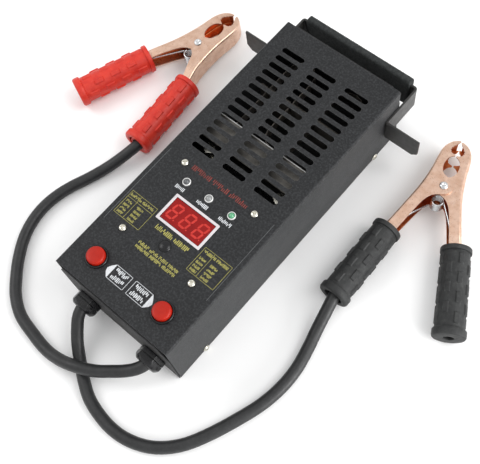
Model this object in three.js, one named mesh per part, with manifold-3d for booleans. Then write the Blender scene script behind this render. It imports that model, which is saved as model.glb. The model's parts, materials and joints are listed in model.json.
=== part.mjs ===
// Hand-held battery load tester, in millimetres, +Z up.
// The origin is the middle of the case's underside: -Y is the end with the cable glands and the
// two buttons, +Y the end with the carrying bracket, +X the right-hand side seen from the glands.
import * as THREE from 'three';
import { mergeVertices } from 'three/addons/utils/BufferGeometryUtils.js';
import Module from 'manifold-3d';

const wasm = await Module();
wasm.setup();

// ---------------------------------------------------------------- driving dimensions

const GAP = 0.3; // clearance between neighbouring pieces
const REST = 0.1; // clearance under a piece that lies flat on a face

const CASE = { width: 115, length: 272.6, height: 65.3, sheet: 1.0, bend: 1.8, skirt: 0.4 };
const SIDE_GROOVE = { z: 63.7, height: 0.5, depth: 0.35 };

const SLOT = { columns: [-32, 0, 32], rows: 14, firstY: 2.3, pitch: 8.49, length: 22.3, width: 4.9 };

const TRAY = { sheet: 1.0, endTop: 64.4, flange: 10, cornerWidth: 8, cornerHeight: 16 };

const FACE_SCREWS = [[-35.5, -85.2], [35.5, -85.2], [-35.5, -14.8], [35.5, -14.8]];
const SIDE_SCREWS = [[1, -107], [1, 107], [-1, -107], [-1, 107]];
const SIDE_SCREW_Z = 3.6;
const SCREW = { headRadius: 3.0, headHeight: 1.9, shankRadius: 1.4, holeRadius: 1.8 };

const BOARD = { width: 78, near: -89, far: -11, top: 55, thickness: 1.6 };
const SPACER = { radius: 2.9, bore: 1.75 };

const DISPLAY = { halfWidth: 22, near: -63, far: -38.2, border: 2.1, proud: 1.0 };

const LEDS = { y: -26.5, xs: { left: -23, middle: 0, right: 23 } };
const LED = { lensRadius: 2.4, ringOuter: 3.4, ringBore: 2.55, barrel: 2.9, ringHeight: 1.2 };

const BUTTONS = { y: -114.6, xs: { left: -34, right: 34 } };
const BUTTON = { flange: 9.1, barrel: 8.1, bore: 7.7, cap: 7.3, capTop: 71.2, skirtZ: 62.5, floorZ: 52 };

const PLUG = { y: -76, radius: 4.9, dome: 2.0, stem: 2.9 };

const BRACKET = { outer: 59.7, thickness: 1.9, low: 22.7, high: 44.9, earTip: 90.45, earY: 117.6,
  crossY: 159.7, cornerCut: 5 };
const GRIP = { halfLength: 53.5, near: 155.3, far: 162.2, low: 17.8, high: 51, round: 2.4 };

const GLANDS = { black: -35, red: 35 };
const GLAND = { z: 20, hexRadius: 12.2, thread: 9.1, flange: 4.2, nutEnd: 11.2, bore: 5.9 };

const CABLE = { radius: 5, sides: 10, innerEnd: -131 };

const CLAMP = { height: 20, nested: 17.4, sheet: 1, mouthHeight: 17.6, legHeight: 14.5, legEnd: 12,
  tipDrop: 4, rivet: 2.3, pivotHeight: 13.2, handleAngle: 14.2 };
const SLEEVE = { length: 72.5, body: 11.2, collar: 12.3, rear: 13.1, bore: 10, stretch: 0.06, endWall: 4,
  cableHole: 8, freeHole: 3, axisX: 23.8, axisY: -32 };
const SPRING = { radius: 4.7, wire: 0.8, turns: 5.5, offset: 10.8 };

// ---------------------------------------------------------------- geometry helpers

// A closed, outward-facing, indexed geometry that holds only positions.
function closed(geometry) {
  const bare = geometry.clone();
  bare.deleteAttribute('normal');
  bare.deleteAttribute('uv');
  const merged = mergeVertices(bare, 1e-4);
  const source = merged.index.array;
  const position = merged.attributes.position;
  const kept = [];
  const a = new THREE.Vector3();
  const b = new THREE.Vector3();
  const c = new THREE.Vector3();
  let volume = 0;
  for (let i = 0; i < source.length; i += 3) {
    const [p, q, r] = [source[i], source[i + 1], source[i + 2]];
    if (p === q || q === r || r === p) continue;
    kept.push(p, q, r);
    a.fromBufferAttribute(position, p);
    b.fromBufferAttribute(position, q);
    c.fromBufferAttribute(position, r);
    volume += a.dot(b.cross(c));
  }
  if (volume < 0) kept.reverse();
  merged.setIndex(kept);
  return merged;
}

function solid(geometry) {
  const body = closed(geometry);
  return new wasm.Manifold(new wasm.Mesh({
    numProp: 3,
    vertProperties: new Float32Array(body.attributes.position.array),
    triVerts: new Uint32Array(body.index.array),
  }));
}

function geometryOf(manifold) {
  const mesh = manifold.getMesh();
  const geometry = new THREE.BufferGeometry();
  geometry.setAttribute('position', new THREE.BufferAttribute(new Float32Array(mesh.vertProperties), 3));
  geometry.setIndex(new THREE.BufferAttribute(new Uint32Array(mesh.triVerts), 1));
  return geometry;
}

function cut(geometry, ...tools) {
  return geometryOf(tools.reduce((body, tool) => body.subtract(solid(tool)), solid(geometry)));
}

function join(...pieces) {
  return geometryOf(pieces.map(solid).reduce((body, piece) => body.add(piece)));
}

// A box between two opposite corners.
function block(low, high) {
  const [dx, dy, dz] = [0, 1, 2].map((i) => high[i] - low[i]);
  const geometry = new THREE.BoxGeometry(dx, dy, dz);
  return geometry.translate(low[0] + dx / 2, low[1] + dy / 2, low[2] + dz / 2);
}

// An upright rod between two heights.
function rod(x, y, low, high, radius, sides = 16) {
  const geometry = new THREE.CylinderGeometry(radius, radius, high - low, sides);
  return geometry.rotateX(Math.PI / 2).translate(x, y, (low + high) / 2);
}

// A rod along Y (from y0 to y1) or along X (from x0 to x1).
function rodY(x, z, y0, y1, radius, sides = 16) {
  const geometry = new THREE.CylinderGeometry(radius, radius, y1 - y0, sides);
  return geometry.translate(x, (y0 + y1) / 2, z);
}

function rodX(y, z, x0, x1, radius, sides = 16) {
  const geometry = new THREE.CylinderGeometry(radius, radius, Math.abs(x1 - x0), sides);
  return geometry.rotateZ(Math.PI / 2).translate((x0 + x1) / 2, y, z);
}

// A body of revolution about a vertical axis: profile points are [radius, height].
function lathe(profile, sides = 20) {
  const points = profile.map(([r, z]) => new THREE.Vector2(r, z));
  return closed(new THREE.LatheGeometry(points, sides).rotateX(Math.PI / 2));
}

// A ring's profile: the first point is repeated so that the section closes on itself.
function ring(profile, sides = 20) {
  return lathe([...profile, profile[0]], sides);
}

// A plan outline, given as a THREE.Shape in XY, raised from one height to another.
function slab(shape, low, high, curveSegments = 2) {
  const options = { depth: high - low, bevelEnabled: false, curveSegments };
  return new THREE.ExtrudeGeometry(shape, options).translate(0, 0, low);
}

// An outline in XZ drawn out along Y.
function extrudeY(shape, y0, y1, curveSegments = 2) {
  const options = { depth: y1 - y0, bevelEnabled: false, curveSegments };
  return new THREE.ExtrudeGeometry(shape, options).rotateX(Math.PI / 2).translate(0, y1, 0);
}

// An outline in YZ drawn out along X.
function extrudeX(shape, x0, x1, curveSegments = 2) {
  const options = { depth: x1 - x0, bevelEnabled: false, curveSegments };
  const upright = new THREE.ExtrudeGeometry(shape, options).translate(0, 0, x0);
  return upright.rotateY(Math.PI / 2).rotateX(Math.PI / 2);
}

function polygon(points) {
  return new THREE.Shape(points.map(([x, y]) => new THREE.Vector2(x, y)));
}

function roundedRect(x0, y0, x1, y1, r) {
  const shape = new THREE.Shape();
  shape.moveTo(x0 + r, y0);
  shape.lineTo(x1 - r, y0);
  shape.absarc(x1 - r, y0 + r, r, -Math.PI / 2, 0);
  shape.lineTo(x1, y1 - r);
  shape.absarc(x1 - r, y1 - r, r, 0, Math.PI / 2);
  shape.lineTo(x0 + r, y1);
  shape.absarc(x0 + r, y1 - r, r, Math.PI / 2, Math.PI);
  shape.lineTo(x0, y0 + r);
  shape.absarc(x0 + r, y0 + r, r, Math.PI, 1.5 * Math.PI);
  return shape;
}

// A round tube along a smooth curve through the points; three.js halves the circle before dividing it.
function tube(points, radius, sides, steps) {
  const section = new THREE.Shape();
  section.absellipse(0, 0, radius, radius, 0, 2 * Math.PI);
  const path = new THREE.CatmullRomCurve3(points.map(([x, y, z]) => new THREE.Vector3(x, y, z)));
  const options = { steps, bevelEnabled: false, curveSegments: sides / 2, extrudePath: path };
  return closed(new THREE.ExtrudeGeometry(section, options));
}

function material(color, roughness, metalness) {
  return new THREE.MeshStandardMaterial({ color, roughness, metalness });
}

const PAINT = { color: 0x3c3d3f, roughness: 0.6, metalness: 0.2 };
const finish = {
  cover: () => material(PAINT.color, PAINT.roughness, PAINT.metalness),
  tray: () => material(0x5e5e60, 0.6, 0.2),
  bracket: () => material(0x55565a, 0.5, 0.3),
  foam: () => material(0x262829, 0.95, 0),
  screw: () => material(0xd6d3c4, 0.3, 1),
  zinc: () => material(0xb9bcc0, 0.35, 1),
  board: () => material(0x1f6b3a, 0.6, 0),
  blackPlastic: () => material(0x1b1c1e, 0.35, 0),
  whitePlastic: () => material(0xd4cdd0, 0.5, 0),
  redPlastic: () => material(0xd0392a, 0.35, 0),
  redLens: () => material(0xb0201c, 0.15, 0),
  greenLens: () => material(0x2f9a4a, 0.2, 0),
  greyLens: () => material(0x8d9092, 0.2, 0),
  darkLens: () => material(0x4c4f52, 0.2, 0),
  ceramic: () => material(0xd9d2c0, 0.8, 0),
  nichrome: () => material(0x8b8378, 0.4, 1),
  rubber: () => material(0x2b2d2f, 0.7, 0),
  copper: () => material(0xdcb093, 0.3, 1),
  redGrip: () => material(0xcf3a2a, 0.6, 0),
  blackGrip: () => material(0x3a3c3e, 0.7, 0),
};

const tester = new THREE.Group();

function add(name, geometry, look, parent = tester) {
  const mesh = new THREE.Mesh(geometry, look);
  mesh.name = name;
  parent.add(mesh);
  return mesh;
}

// ---------------------------------------------------------------- sheet-metal case

const halfWidth = CASE.width / 2;
const halfLength = CASE.length / 2;
const top = CASE.height;

// The cover is one sheet folded over the top and both sides.
function coverSection() {
  const { sheet, bend, skirt } = CASE;
  const inner = bend - sheet;
  const shape = new THREE.Shape();
  shape.moveTo(halfWidth, skirt);
  shape.lineTo(halfWidth, top - bend);
  shape.absarc(halfWidth - bend, top - bend, bend, 0, Math.PI / 2);
  shape.lineTo(-halfWidth + bend, top);
  shape.absarc(-halfWidth + bend, top - bend, bend, Math.PI / 2, Math.PI);
  shape.lineTo(-halfWidth, skirt);
  shape.lineTo(-halfWidth + sheet, skirt);
  shape.lineTo(-halfWidth + sheet, top - bend);
  shape.absarc(-halfWidth + bend, top - bend, inner, Math.PI, Math.PI / 2, true);
  shape.lineTo(halfWidth - bend, top - sheet);
  shape.absarc(halfWidth - bend, top - bend, inner, Math.PI / 2, 0, true);
  shape.lineTo(halfWidth - sheet, skirt);
  return shape;
}

function slotOutline(x, y) {
  const r = SLOT.width / 2;
  const reach = SLOT.length / 2 - r;
  const shape = new THREE.Shape();
  shape.moveTo(x - reach, y - r);
  shape.lineTo(x + reach, y - r);
  shape.absarc(x + reach, y, r, -Math.PI / 2, Math.PI / 2);
  shape.lineTo(x - reach, y + r);
  shape.absarc(x - reach, y, r, Math.PI / 2, 1.5 * Math.PI);
  return shape;
}

function topCover() {
  const [low, high] = [top - 3, top + 3];
  const tools = [];
  for (const x of SLOT.columns) {
    for (let row = 0; row < SLOT.rows; row += 1) {
      tools.push(slab(slotOutline(x, SLOT.firstY + row * SLOT.pitch), low, high));
    }
  }
  const { halfWidth: dw, near, far, border } = DISPLAY;
  const inset = border - GAP;
  tools.push(block([-dw + inset, near + inset, low], [dw - inset, far - inset, high]));
  for (const x of Object.values(LEDS.xs)) {
    tools.push(rod(x, LEDS.y, low, high, LED.barrel + GAP, 12));
  }
  for (const x of Object.values(BUTTONS.xs)) {
    tools.push(rod(x, BUTTONS.y, low, high, BUTTON.barrel + GAP));
  }
  tools.push(rod(0, PLUG.y, low, high, PLUG.stem + GAP, 12));
  for (const [x, y] of FACE_SCREWS) tools.push(rod(x, y, low, high, SCREW.holeRadius, 8));
  for (const [side, y] of SIDE_SCREWS) {
    tools.push(rodX(y, SIDE_SCREW_Z, side * (halfWidth - 3), side * (halfWidth + 1), SCREW.holeRadius, 8));
  }
  for (const side of [-1, 1]) {
    const xs = [side * (halfWidth - SIDE_GROOVE.depth), side * (halfWidth + 1)].sort((p, q) => p - q);
    const zs = [SIDE_GROOVE.z - SIDE_GROOVE.height / 2, SIDE_GROOVE.z + SIDE_GROOVE.height / 2];
    tools.push(block([xs[0], -halfLength - 1, zs[0]], [xs[1], halfLength + 1, zs[1]]));
  }
  return cut(extrudeY(coverSection(), -halfLength, halfLength), ...tools);
}

// The tray is the floor, the two end panels and a screw flange along each side.
function baseTray() {
  const { sheet, endTop, flange, cornerWidth, cornerHeight } = TRAY;
  const endInner = halfLength + GAP;
  const endOuter = endInner + sheet;
  const floorX = halfWidth - CASE.sheet - GAP;
  const endX = halfWidth - 0.3;
  const cornerLow = endTop - cornerHeight;
  const endShape = polygon([[-endX, 0], [endX, 0], [endX, cornerLow], [endX - cornerWidth, endTop],
    [-endX + cornerWidth, endTop], [-endX, cornerLow]]);
  const pieces = [
    block([-floorX, -endOuter, 0], [floorX, endOuter, sheet]),
    extrudeY(endShape, -endOuter, -endInner),
    extrudeY(endShape, endInner, endOuter),
  ];
  for (const side of [-1, 1]) {
    const xs = [side * floorX, side * (floorX - sheet)].sort((p, q) => p - q);
    pieces.push(block([xs[0], -halfLength + 2, 0], [xs[1], halfLength - 2, flange]));
  }
  const hole = (x) => rodY(x, GLAND.z, -endOuter - 1, -endInner + 1, GLAND.thread + GAP);
  const tools = Object.values(GLANDS).map(hole);
  for (const [side, y] of SIDE_SCREWS) {
    tools.push(rodX(y, SIDE_SCREW_Z, side * (floorX - 3), side * (floorX + 1), SCREW.shankRadius + GAP, 8));
  }
  return cut(join(...pieces), ...tools);
}

add('top_cover', topCover(), finish.cover());
add('base_tray', baseTray(), finish.tray());

// ---------------------------------------------------------------- screws

// A pan-head screw with a cross recess, its head's underside at z = 0 and its shank pointing down.
function screw(shankLength) {
  const { headRadius: r, headHeight: h, shankRadius: s } = SCREW;
  const body = lathe([[0, h], [r * 0.55, h * 0.93], [r * 0.88, h * 0.62], [r, h * 0.15], [r, 0], [s, 0],
    [s, -shankLength], [0, -shankLength]], 14);
  const arm = r * 0.62;
  const depth = h - 1.0;
  const half = 0.35;
  const recess = (x, y) => block([-x, -y, depth], [x, y, h + 1]);
  return cut(body, recess(arm, half), recess(half, arm));
}

const spacerTop = top - CASE.sheet - REST;
const spacerLow = BOARD.top + REST;
FACE_SCREWS.forEach(([x, y], i) => {
  const piece = add(`face_screw_${i + 1}`, screw(top - BOARD.top + BOARD.thickness + 2), finish.screw());
  piece.position.set(x, y, top + REST);
  piece.rotation.z = 0.4 + i;
  const spacer = ring([[SPACER.radius, spacerLow], [SPACER.radius, spacerTop], [SPACER.bore, spacerTop],
    [SPACER.bore, spacerLow]], 10);
  add(`board_spacer_${i + 1}`, spacer.translate(x, y, 0), finish.zinc());
});
SIDE_SCREWS.forEach(([side, y], i) => {
  const piece = add(`side_screw_${i + 1}`, screw(6), finish.screw());
  piece.rotation.set(0, side * Math.PI / 2, 0);
  piece.position.set(side * (halfWidth + REST), y, SIDE_SCREW_Z);
});

// ---------------------------------------------------------------- carrying bracket and grip

// A flat steel strip: two arms along the case, a bar across the far end and an ear turned out each side.
function bracket() {
  const { outer, thickness: t, low, high, earTip, earY, crossY, cornerCut } = BRACKET;
  const half = [[0, crossY], [outer - 3, crossY], [outer - 0.9, crossY - 0.9], [outer, crossY - 3],
    [outer, earY + t], [earTip, earY + t], [earTip, earY], [outer - t + 1, earY], [outer - t, earY + 1],
    [outer - t, crossY - t - 1.6], [outer - t - 1.6, crossY - t], [0, crossY - t]];
  const mirrored = half.slice(1, -1).reverse().map(([x, y]) => [-x, y]);
  const strip = slab(polygon([...half.slice(1, -1), ...mirrored]), low, high);
  const tools = [-1, 1].map((side) => {
    const [tip, root] = [side * earTip, side * (earTip - cornerCut)];
    const corner = polygon([[tip + side, low - 1], [tip + side, low + cornerCut], [tip, low + cornerCut],
      [root, low], [root, low - 1]]);
    return extrudeY(corner, earY - 1, earY + t + 1);
  });
  return cut(strip, ...tools);
}

// The grip is a thick foam sleeve over the bar.
function grip() {
  const { halfLength: reach, near, far, low, high, round } = GRIP;
  const { crossY, thickness } = BRACKET;
  const shape = roundedRect(near, low, far, high, round);
  const [y0, y1] = [crossY - thickness - GAP, crossY + GAP];
  const [z0, z1] = [BRACKET.low - GAP, BRACKET.high + GAP];
  const hole = polygon([[y0, z0], [y0, z1], [y1, z1], [y1, z0]]);
  shape.holes.push(hole);
  return closed(extrudeX(shape, -reach, reach));
}

add('carry_bracket', bracket(), finish.bracket());
add('bracket_grip', grip(), finish.foam());

// ---------------------------------------------------------------- circuit board and display

function circuitBoard() {
  const { width, near, far, top: high, thickness } = BOARD;
  const low = high - thickness;
  const parts = [block([-width / 2, near, low], [width / 2, far, high]),
    block([-16, -82, low - 3.4], [-6, -58, low + 0.1]), block([10, -80, low - 9], [22, -64, low + 0.1]),
    block([-30, -50, low - 6], [-18, -40, low + 0.1]), block([14, -44, low - 4], [30, -34, low + 0.1])];
  const holes = FACE_SCREWS.map(([x, y]) => rod(x, y, low - 1, high + 1, SCREW.holeRadius, 8));
  return cut(join(...parts), ...holes);
}

add('circuit_board', circuitBoard(), finish.board());

const window = { x: DISPLAY.halfWidth - DISPLAY.border - GAP, near: DISPLAY.near + DISPLAY.border + GAP,
  far: DISPLAY.far - DISPLAY.border - GAP, low: 63.6, high: top + 0.5 };
const module = { x: 18.9, near: -60.2, far: -41.2, low: BOARD.top + REST, high: window.low - GAP };

function displayBezel() {
  const { halfWidth: x, near, far, border, proud } = DISPLAY;
  const frame = block([-x, near, top + REST], [x, far, top + proud]);
  const opening = block([-x + border, near + border, top - 1], [x - border, far - border, top + proud + 1]);
  return cut(frame, opening);
}

add('display_bezel', displayBezel(), finish.whitePlastic());
for (const [name, size, look] of [['display_window', window, finish.redLens],
  ['display_module', module, finish.blackPlastic]]) {
  add(name, closed(block([-size.x, size.near, size.low], [size.x, size.far, size.high])), look());
}

// ---------------------------------------------------------------- indicator lamps

function ledLens() {
  const r = LED.lensRadius;
  const dome = top + 0.4;
  return lathe([[0, dome + r * 0.95], [r * 0.45, dome + r * 0.82], [r * 0.82, dome + r * 0.5], [r, dome],
    [r, 58.2], [r + 0.4, 58.2], [r + 0.4, 57], [0, 57]], 14);
}

function ledRing() {
  const { ringOuter: o, ringBore: b, barrel, ringHeight: h } = LED;
  return ring([[o, top + REST], [o, top + h * 0.6], [o - 0.5, top + h], [b, top + h], [b, top - 3.5],
    [barrel, top - 3.5], [barrel, top + REST]], 16);
}

const lensLook = { left: finish.darkLens, middle: finish.greyLens, right: finish.greenLens };
for (const [side, x] of Object.entries(LEDS.xs)) {
  add(`led_lens_${side}`, ledLens().translate(x, LEDS.y, 0), lensLook[side]());
  add(`led_ring_${side}`, ledRing().translate(x, LEDS.y, 0), finish.zinc());
}

// ---------------------------------------------------------------- push buttons

function buttonBezel() {
  const { flange, barrel, bore, floorZ } = BUTTON;
  return ring([[flange, top + REST], [flange, top + 1.3], [flange - 0.7, top + 2.1], [bore, top + 2.1],
    [bore, floorZ], [2.6, floorZ], [2.6, floorZ - 1.8], [barrel, floorZ - 1.8], [barrel, top + REST]], 24);
}

function buttonCap() {
  const { cap, capTop, skirtZ, floorZ } = BUTTON;
  return lathe([[0, capTop], [cap - 1.6, capTop - 0.1], [cap - 0.4, capTop - 0.7], [cap, capTop - 1.8],
    [cap, skirtZ], [2.1, skirtZ], [2.1, floorZ - 6], [0, floorZ - 6]], 24);
}

function buttonSpring() {
  const { floorZ, skirtZ } = BUTTON;
  const [radius, wire, turns] = [4.4, 0.45, 4];
  const low = floorZ + wire + 0.15;
  const high = skirtZ - wire - 0.15;
  const points = [];
  for (let i = 0; i <= turns * 9; i += 1) {
    const angle = 2 * Math.PI * i / 9;
    points.push([radius * Math.cos(angle), radius * Math.sin(angle), low + (high - low) * i / (turns * 9)]);
  }
  return tube(points, wire, 6, turns * 9);
}

for (const [side, x] of Object.entries(BUTTONS.xs)) {
  const place = (geometry) => geometry.translate(x, BUTTONS.y, 0);
  add(`button_bezel_${side}`, place(buttonBezel()), finish.blackPlastic());
  add(`button_cap_${side}`, place(buttonCap()), finish.redPlastic());
  add(`button_spring_${side}`, place(buttonSpring()), finish.zinc());
}

// A domed plastic plug fills the hole under the display.
function holePlug() {
  const { radius: r, dome, stem } = PLUG;
  return lathe([[0, top + dome], [r * 0.5, top + dome * 0.9], [r * 0.85, top + dome * 0.6], [r, top + REST],
    [stem, top + REST], [stem, top - 5], [0, top - 5]], 18);
}

add('hole_plug', holePlug().translate(0, PLUG.y, 0), finish.blackPlastic());

// ---------------------------------------------------------------- load bank under the slots

const RIBBON = { runs: [-36.75, -12.25, 12.25, 36.75], low: 35, high: 45, thickness: 0.8, near: 56, far: 112,
  end: 17.5 };
const WALL = { y: 38.4, sheet: 1, high: 58, shelf: 15, halfWidth: 54.4 };
const SUPPORT_Y = 84;
const POSTS = { left: -36.75, right: 36.75 };
const POST_Y = 12;

// The resistance ribbon stands on edge and runs up and down the case four times.
function ribbonOutline() {
  const [a, b, c, d] = RIBBON.runs;
  const turn = (b - a) / 2;
  const half = RIBBON.thickness / 2;
  const steps = 6;
  const side = (offset) => {
    const points = [[a - offset, RIBBON.end]];
    const arc = (cx, cy, r, from, to) => {
      for (let i = 0; i <= steps; i += 1) {
        const angle = from + (to - from) * i / steps;
        points.push([cx + r * Math.cos(angle), cy + r * Math.sin(angle)]);
      }
    };
    arc((a + b) / 2, RIBBON.far, turn + offset, Math.PI, 0);
    arc((b + c) / 2, RIBBON.near, turn - offset, Math.PI, 2 * Math.PI);
    arc((c + d) / 2, RIBBON.far, turn + offset, Math.PI, 0);
    points.push([d + offset, RIBBON.end]);
    return points;
  };
  return polygon([...side(half), ...side(-half).reverse()]);
}

// A folded steel wall with a shelf at its top keeps the heat away from the board.
function heatShield() {
  const { y, sheet, high, shelf, halfWidth: x } = WALL;
  const low = TRAY.sheet + REST;
  const back = y + sheet;
  const body = join(block([-x, y, low], [x, back, high]), block([-x, shelf, high - sheet], [x, back, high]),
    block([-x, y - 9, low], [x, back, low + sheet]));
  const windows = Object.values(POSTS).map((px) => block([px - 4, y - 2, 32], [px + 4, y + 3, 48]));
  return cut(body, ...windows);
}

function loadSupport(y) {
  const plate = block([-44, y - 1.5, TRAY.sheet + REST], [44, y + 1.5, 48]);
  const slotHalf = RIBBON.thickness / 2 + GAP;
  const slotLow = RIBBON.low - GAP;
  const slots = RIBBON.runs.map((x) => block([x - slotHalf, y - 3, slotLow], [x + slotHalf, y + 3, 50]));
  return cut(plate, ...slots);
}

function terminalBar() {
  const bar = join(block([-46, 5, 24], [46, 19, 33]), block([-46, 8, TRAY.sheet + REST], [-42, 16, 24.1]),
    block([42, 8, TRAY.sheet + REST], [46, 16, 24.1]));
  return cut(bar, ...Object.values(POSTS).map((x) => rod(x, POST_Y, 20, 40, 3 + GAP, 12)));
}

// A terminal bolt stands head up through the bar, with its nut below.
function terminalBolt(x) {
  const head = rod(x, POST_Y, 46, 50, 5.6, 6);
  const shank = rod(x, POST_Y, 16, 46.1, 3, 12);
  const collar = rod(x, POST_Y, 33 + REST, 36, 5.2, 6);
  const nut = rod(x, POST_Y, 19, 24 - REST, 5.6, 6);
  return join(shank, head, collar, nut);
}

add('load_ribbon', closed(slab(ribbonOutline(), RIBBON.low, RIBBON.high)), finish.nichrome());
add('heat_shield', heatShield(), finish.zinc());
add('load_support', loadSupport(SUPPORT_Y), finish.ceramic());
add('terminal_bar', terminalBar(), finish.blackPlastic());
for (const [side, x] of Object.entries(POSTS)) add(`terminal_bolt_${side}`, terminalBolt(x), finish.screw());

function loadRelay() {
  const low = TRAY.sheet + REST;
  return join(block([-15, -24, low], [15, 2, low + 26]), block([-11, -27, low + 8], [-5, -23.9, low + 10]),
    block([5, -27, low + 8], [11, -23.9, low + 10]));
}

add('load_relay', loadRelay(), finish.blackPlastic());

// ---------------------------------------------------------------- cable glands

const wallY = -(halfLength + GAP + TRAY.sheet);

// Body: a hexagonal flange against the end panel and a thread through it. Bored for the cable.
function glandBody(x) {
  const { z, hexRadius, thread, flange, bore } = GLAND;
  const hexagon = rodY(x, z, wallY - REST - flange, wallY - REST, hexRadius, 6);
  const neck = rodY(x, z, wallY - flange - 4, -CABLE.innerEnd * -1 + 3, thread, 20);
  return cut(join(hexagon, neck), rodY(x, z, wallY - 30, CABLE.innerEnd + 20, bore + 0.4, 20));
}

// Cap nut: it screws over the body and closes on the cable.
function glandNut(x) {
  const { z, hexRadius, thread, flange, nutEnd, bore } = GLAND;
  const start = wallY - REST - flange - GAP;
  const shoulder = wallY - nutEnd + 3.2;
  const [side, end, step] = [hexRadius * 0.97, nutEnd - wallY, flange + 4.6 - wallY];
  const profile = [[side, -start], [side, -shoulder], [hexRadius * 0.72, end], [bore, end], [bore, step],
    [thread + GAP, step], [thread + GAP, -start]];
  const along = ring(profile, 24).rotateX(Math.PI / 2).translate(x, 0, z);
  const hexagon = rodY(x, z, wallY - nutEnd - 2, wallY, hexRadius, 6);
  return geometryOf(solid(along).intersect(solid(hexagon)));
}

for (const [side, x] of Object.entries(GLANDS)) {
  add(`gland_body_${side}`, glandBody(x), finish.blackPlastic());
  add(`gland_nut_${side}`, glandNut(x), finish.blackPlastic());
}

// ---------------------------------------------------------------- clamps

// Each clamp is modelled with its pivot on the Z axis, its jaws towards +Y and its cable half at -X.
const legAngle = THREE.MathUtils.degToRad(CLAMP.handleAngle);
const legDirection = [-Math.sin(legAngle), -Math.cos(legAngle)];

// A point beside the leg's centre line: along it from the sleeve's mouth, and across it (outward is +).
function besideLeg(along, across) {
  return [-SLEEVE.axisX + legDirection[0] * along - Math.cos(legAngle) * across,
    SLEEVE.axisY + legDirection[1] * along + Math.sin(legAngle) * across];
}

const LEG_HALF = 4.8;

// The outer edge of one half, from the jaw's tip down to the leg.
const outerEdge = (slide) => [[-2.6, 44.2], [-6.2, 42.8], [-9.2, 39.8], [-11.4, 36], [-12.8, 31], [-13.6, 24],
  [-14.4, 14], [-16, 3], [-18.2, -7], [-21, -17], besideLeg(slide + 2, 3.4), besideLeg(slide + 14, LEG_HALF)];

// The inner edge back up from the leg: crotch, pivot lobe, round opening, teeth.
function innerEdge(lobe, slide) {
  const { sin, cos, PI } = Math;
  const crotch = [[-10.4, -18], [-6.2, -11.6], [-2.4, -9.2]];
  const spread = Math.min(1.6, Math.max(0, slide) * 0.13);
  const points = [besideLeg(slide + 14, -LEG_HALF), besideLeg(slide + 2, -LEG_HALF - spread), ...crotch];
  for (let i = 0; i <= 6; i += 1) {
    const angle = -PI / 2 + 0.35 + (PI - 0.55) * i / 6;
    points.push([lobe * cos(angle), lobe * sin(angle)]);
  }
  for (let i = 1; i <= 7; i += 1) {
    const angle = PI * i / 8;
    points.push([-0.25 - 6.2 * sin(angle), 18.6 - 9.6 * cos(angle)]);
  }
  points.push([-0.8, 28.4], [-0.8, 29.4]);
  const teeth = [[-3.8, 30.4], [-5.2, 31.4], [-5, 32.4], [-6.2, 33.4], [-5.4, 34.6], [-5.9, 35.8],
    [-4.4, 36.8], [-4.6, 38], [-3, 38.9], [-2.9, 40.2], [-1.4, 41.2], [-0.45, 43.8]];
  return [...points, ...teeth];
}

const LOBE = 7.8;

// The side view of a clamp half, thinner by the inset all round: full height at the pivot, lower at the legs.
function sideView(height, inset) {
  const { height: full, mouthHeight, legHeight, legEnd, tipDrop } = CLAMP;
  const nesting = (full - height) / 6;
  const upper = [[48, height - tipDrop], [30, height], [-20, height], [-30, mouthHeight - nesting],
    [-46, legHeight - nesting], [-120, legEnd - nesting]].map(([y, h]) => [y, h / 2 - inset]);
  return polygon([...upper, ...upper.map(([y, z]) => [y, -z]).reverse()]);
}

// A stamped channel: two cheeks joined by a web along the outer edge, tapering down to the leg.
function clampHalf(height, slide, legEnd) {
  const outside = [...outerEdge(slide), besideLeg(legEnd, LEG_HALF)];
  const outline = [...outside, besideLeg(legEnd, -LEG_HALF), ...innerEdge(LOBE, slide)];
  const core = [];
  outside.forEach(([x, y], i) => {
    const [px, py] = outside[Math.max(0, i - 1)];
    const [nx, ny] = outside[Math.min(outside.length - 1, i + 1)];
    const length = Math.hypot(nx - px, ny - py);
    core.push([x - (ny - py) / length * CLAMP.sheet, y + (nx - px) / length * CLAMP.sheet]);
  });
  const last = core[core.length - 1];
  core[0] = [core[0][0], 60];
  core.push([last[0] + legDirection[0] * 3, last[1] + legDirection[1] * 3], [30, last[1] - 4], [30, 60]);
  const h = height / 2 + 1;
  const pressed = (plan, inset) => {
    const side = solid(extrudeX(sideView(height, inset), -60, 60));
    return solid(slab(polygon(plan), -h, h)).intersect(side);
  };
  const rivetHole = solid(rod(0, 0, -h, h, CLAMP.rivet + GAP, 12));
  return geometryOf(pressed(outline, 0).subtract(pressed(core, CLAMP.sheet)).subtract(rivetHole));
}

function clampRivet() {
  const [r, reach] = [CLAMP.rivet, CLAMP.height / 2 + REST];
  return lathe([[0, reach + 1.6], [2.2, reach + 1.3], [3.6, reach], [r, reach], [r, -reach], [3.6, -reach],
    [2.2, -reach - 1.3], [0, -reach - 1.6]], 14);
}

// A torsion spring: a coil behind the rivet and a leg reaching down into each handle.
function clampSpring(rise) {
  const { radius, wire, turns, offset } = SPRING;
  const low = -CLAMP.nested / 2 + CLAMP.sheet + wire + GAP;
  const perTurn = 9;
  const count = Math.round(turns * perTurn);
  const pitch = 2 * wire + 0.3;
  const points = [];
  const start = besideLeg(24, -1.2);
  const middle = [-17.2, -31];
  points.push([start[0], start[1], rise - 1], [...middle, rise - 1.3]);
  for (let i = 0; i <= count; i += 1) {
    const angle = Math.PI + 2 * Math.PI * i / perTurn;
    points.push([radius * Math.cos(angle), radius * Math.sin(angle) - offset, low + pitch * i / perTurn]);
  }
  points.push([-middle[0], middle[1], rise + 1.3], [-start[0], start[1], rise + 1]);
  return tube(points, wire, 6, count + 8);
}

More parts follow.
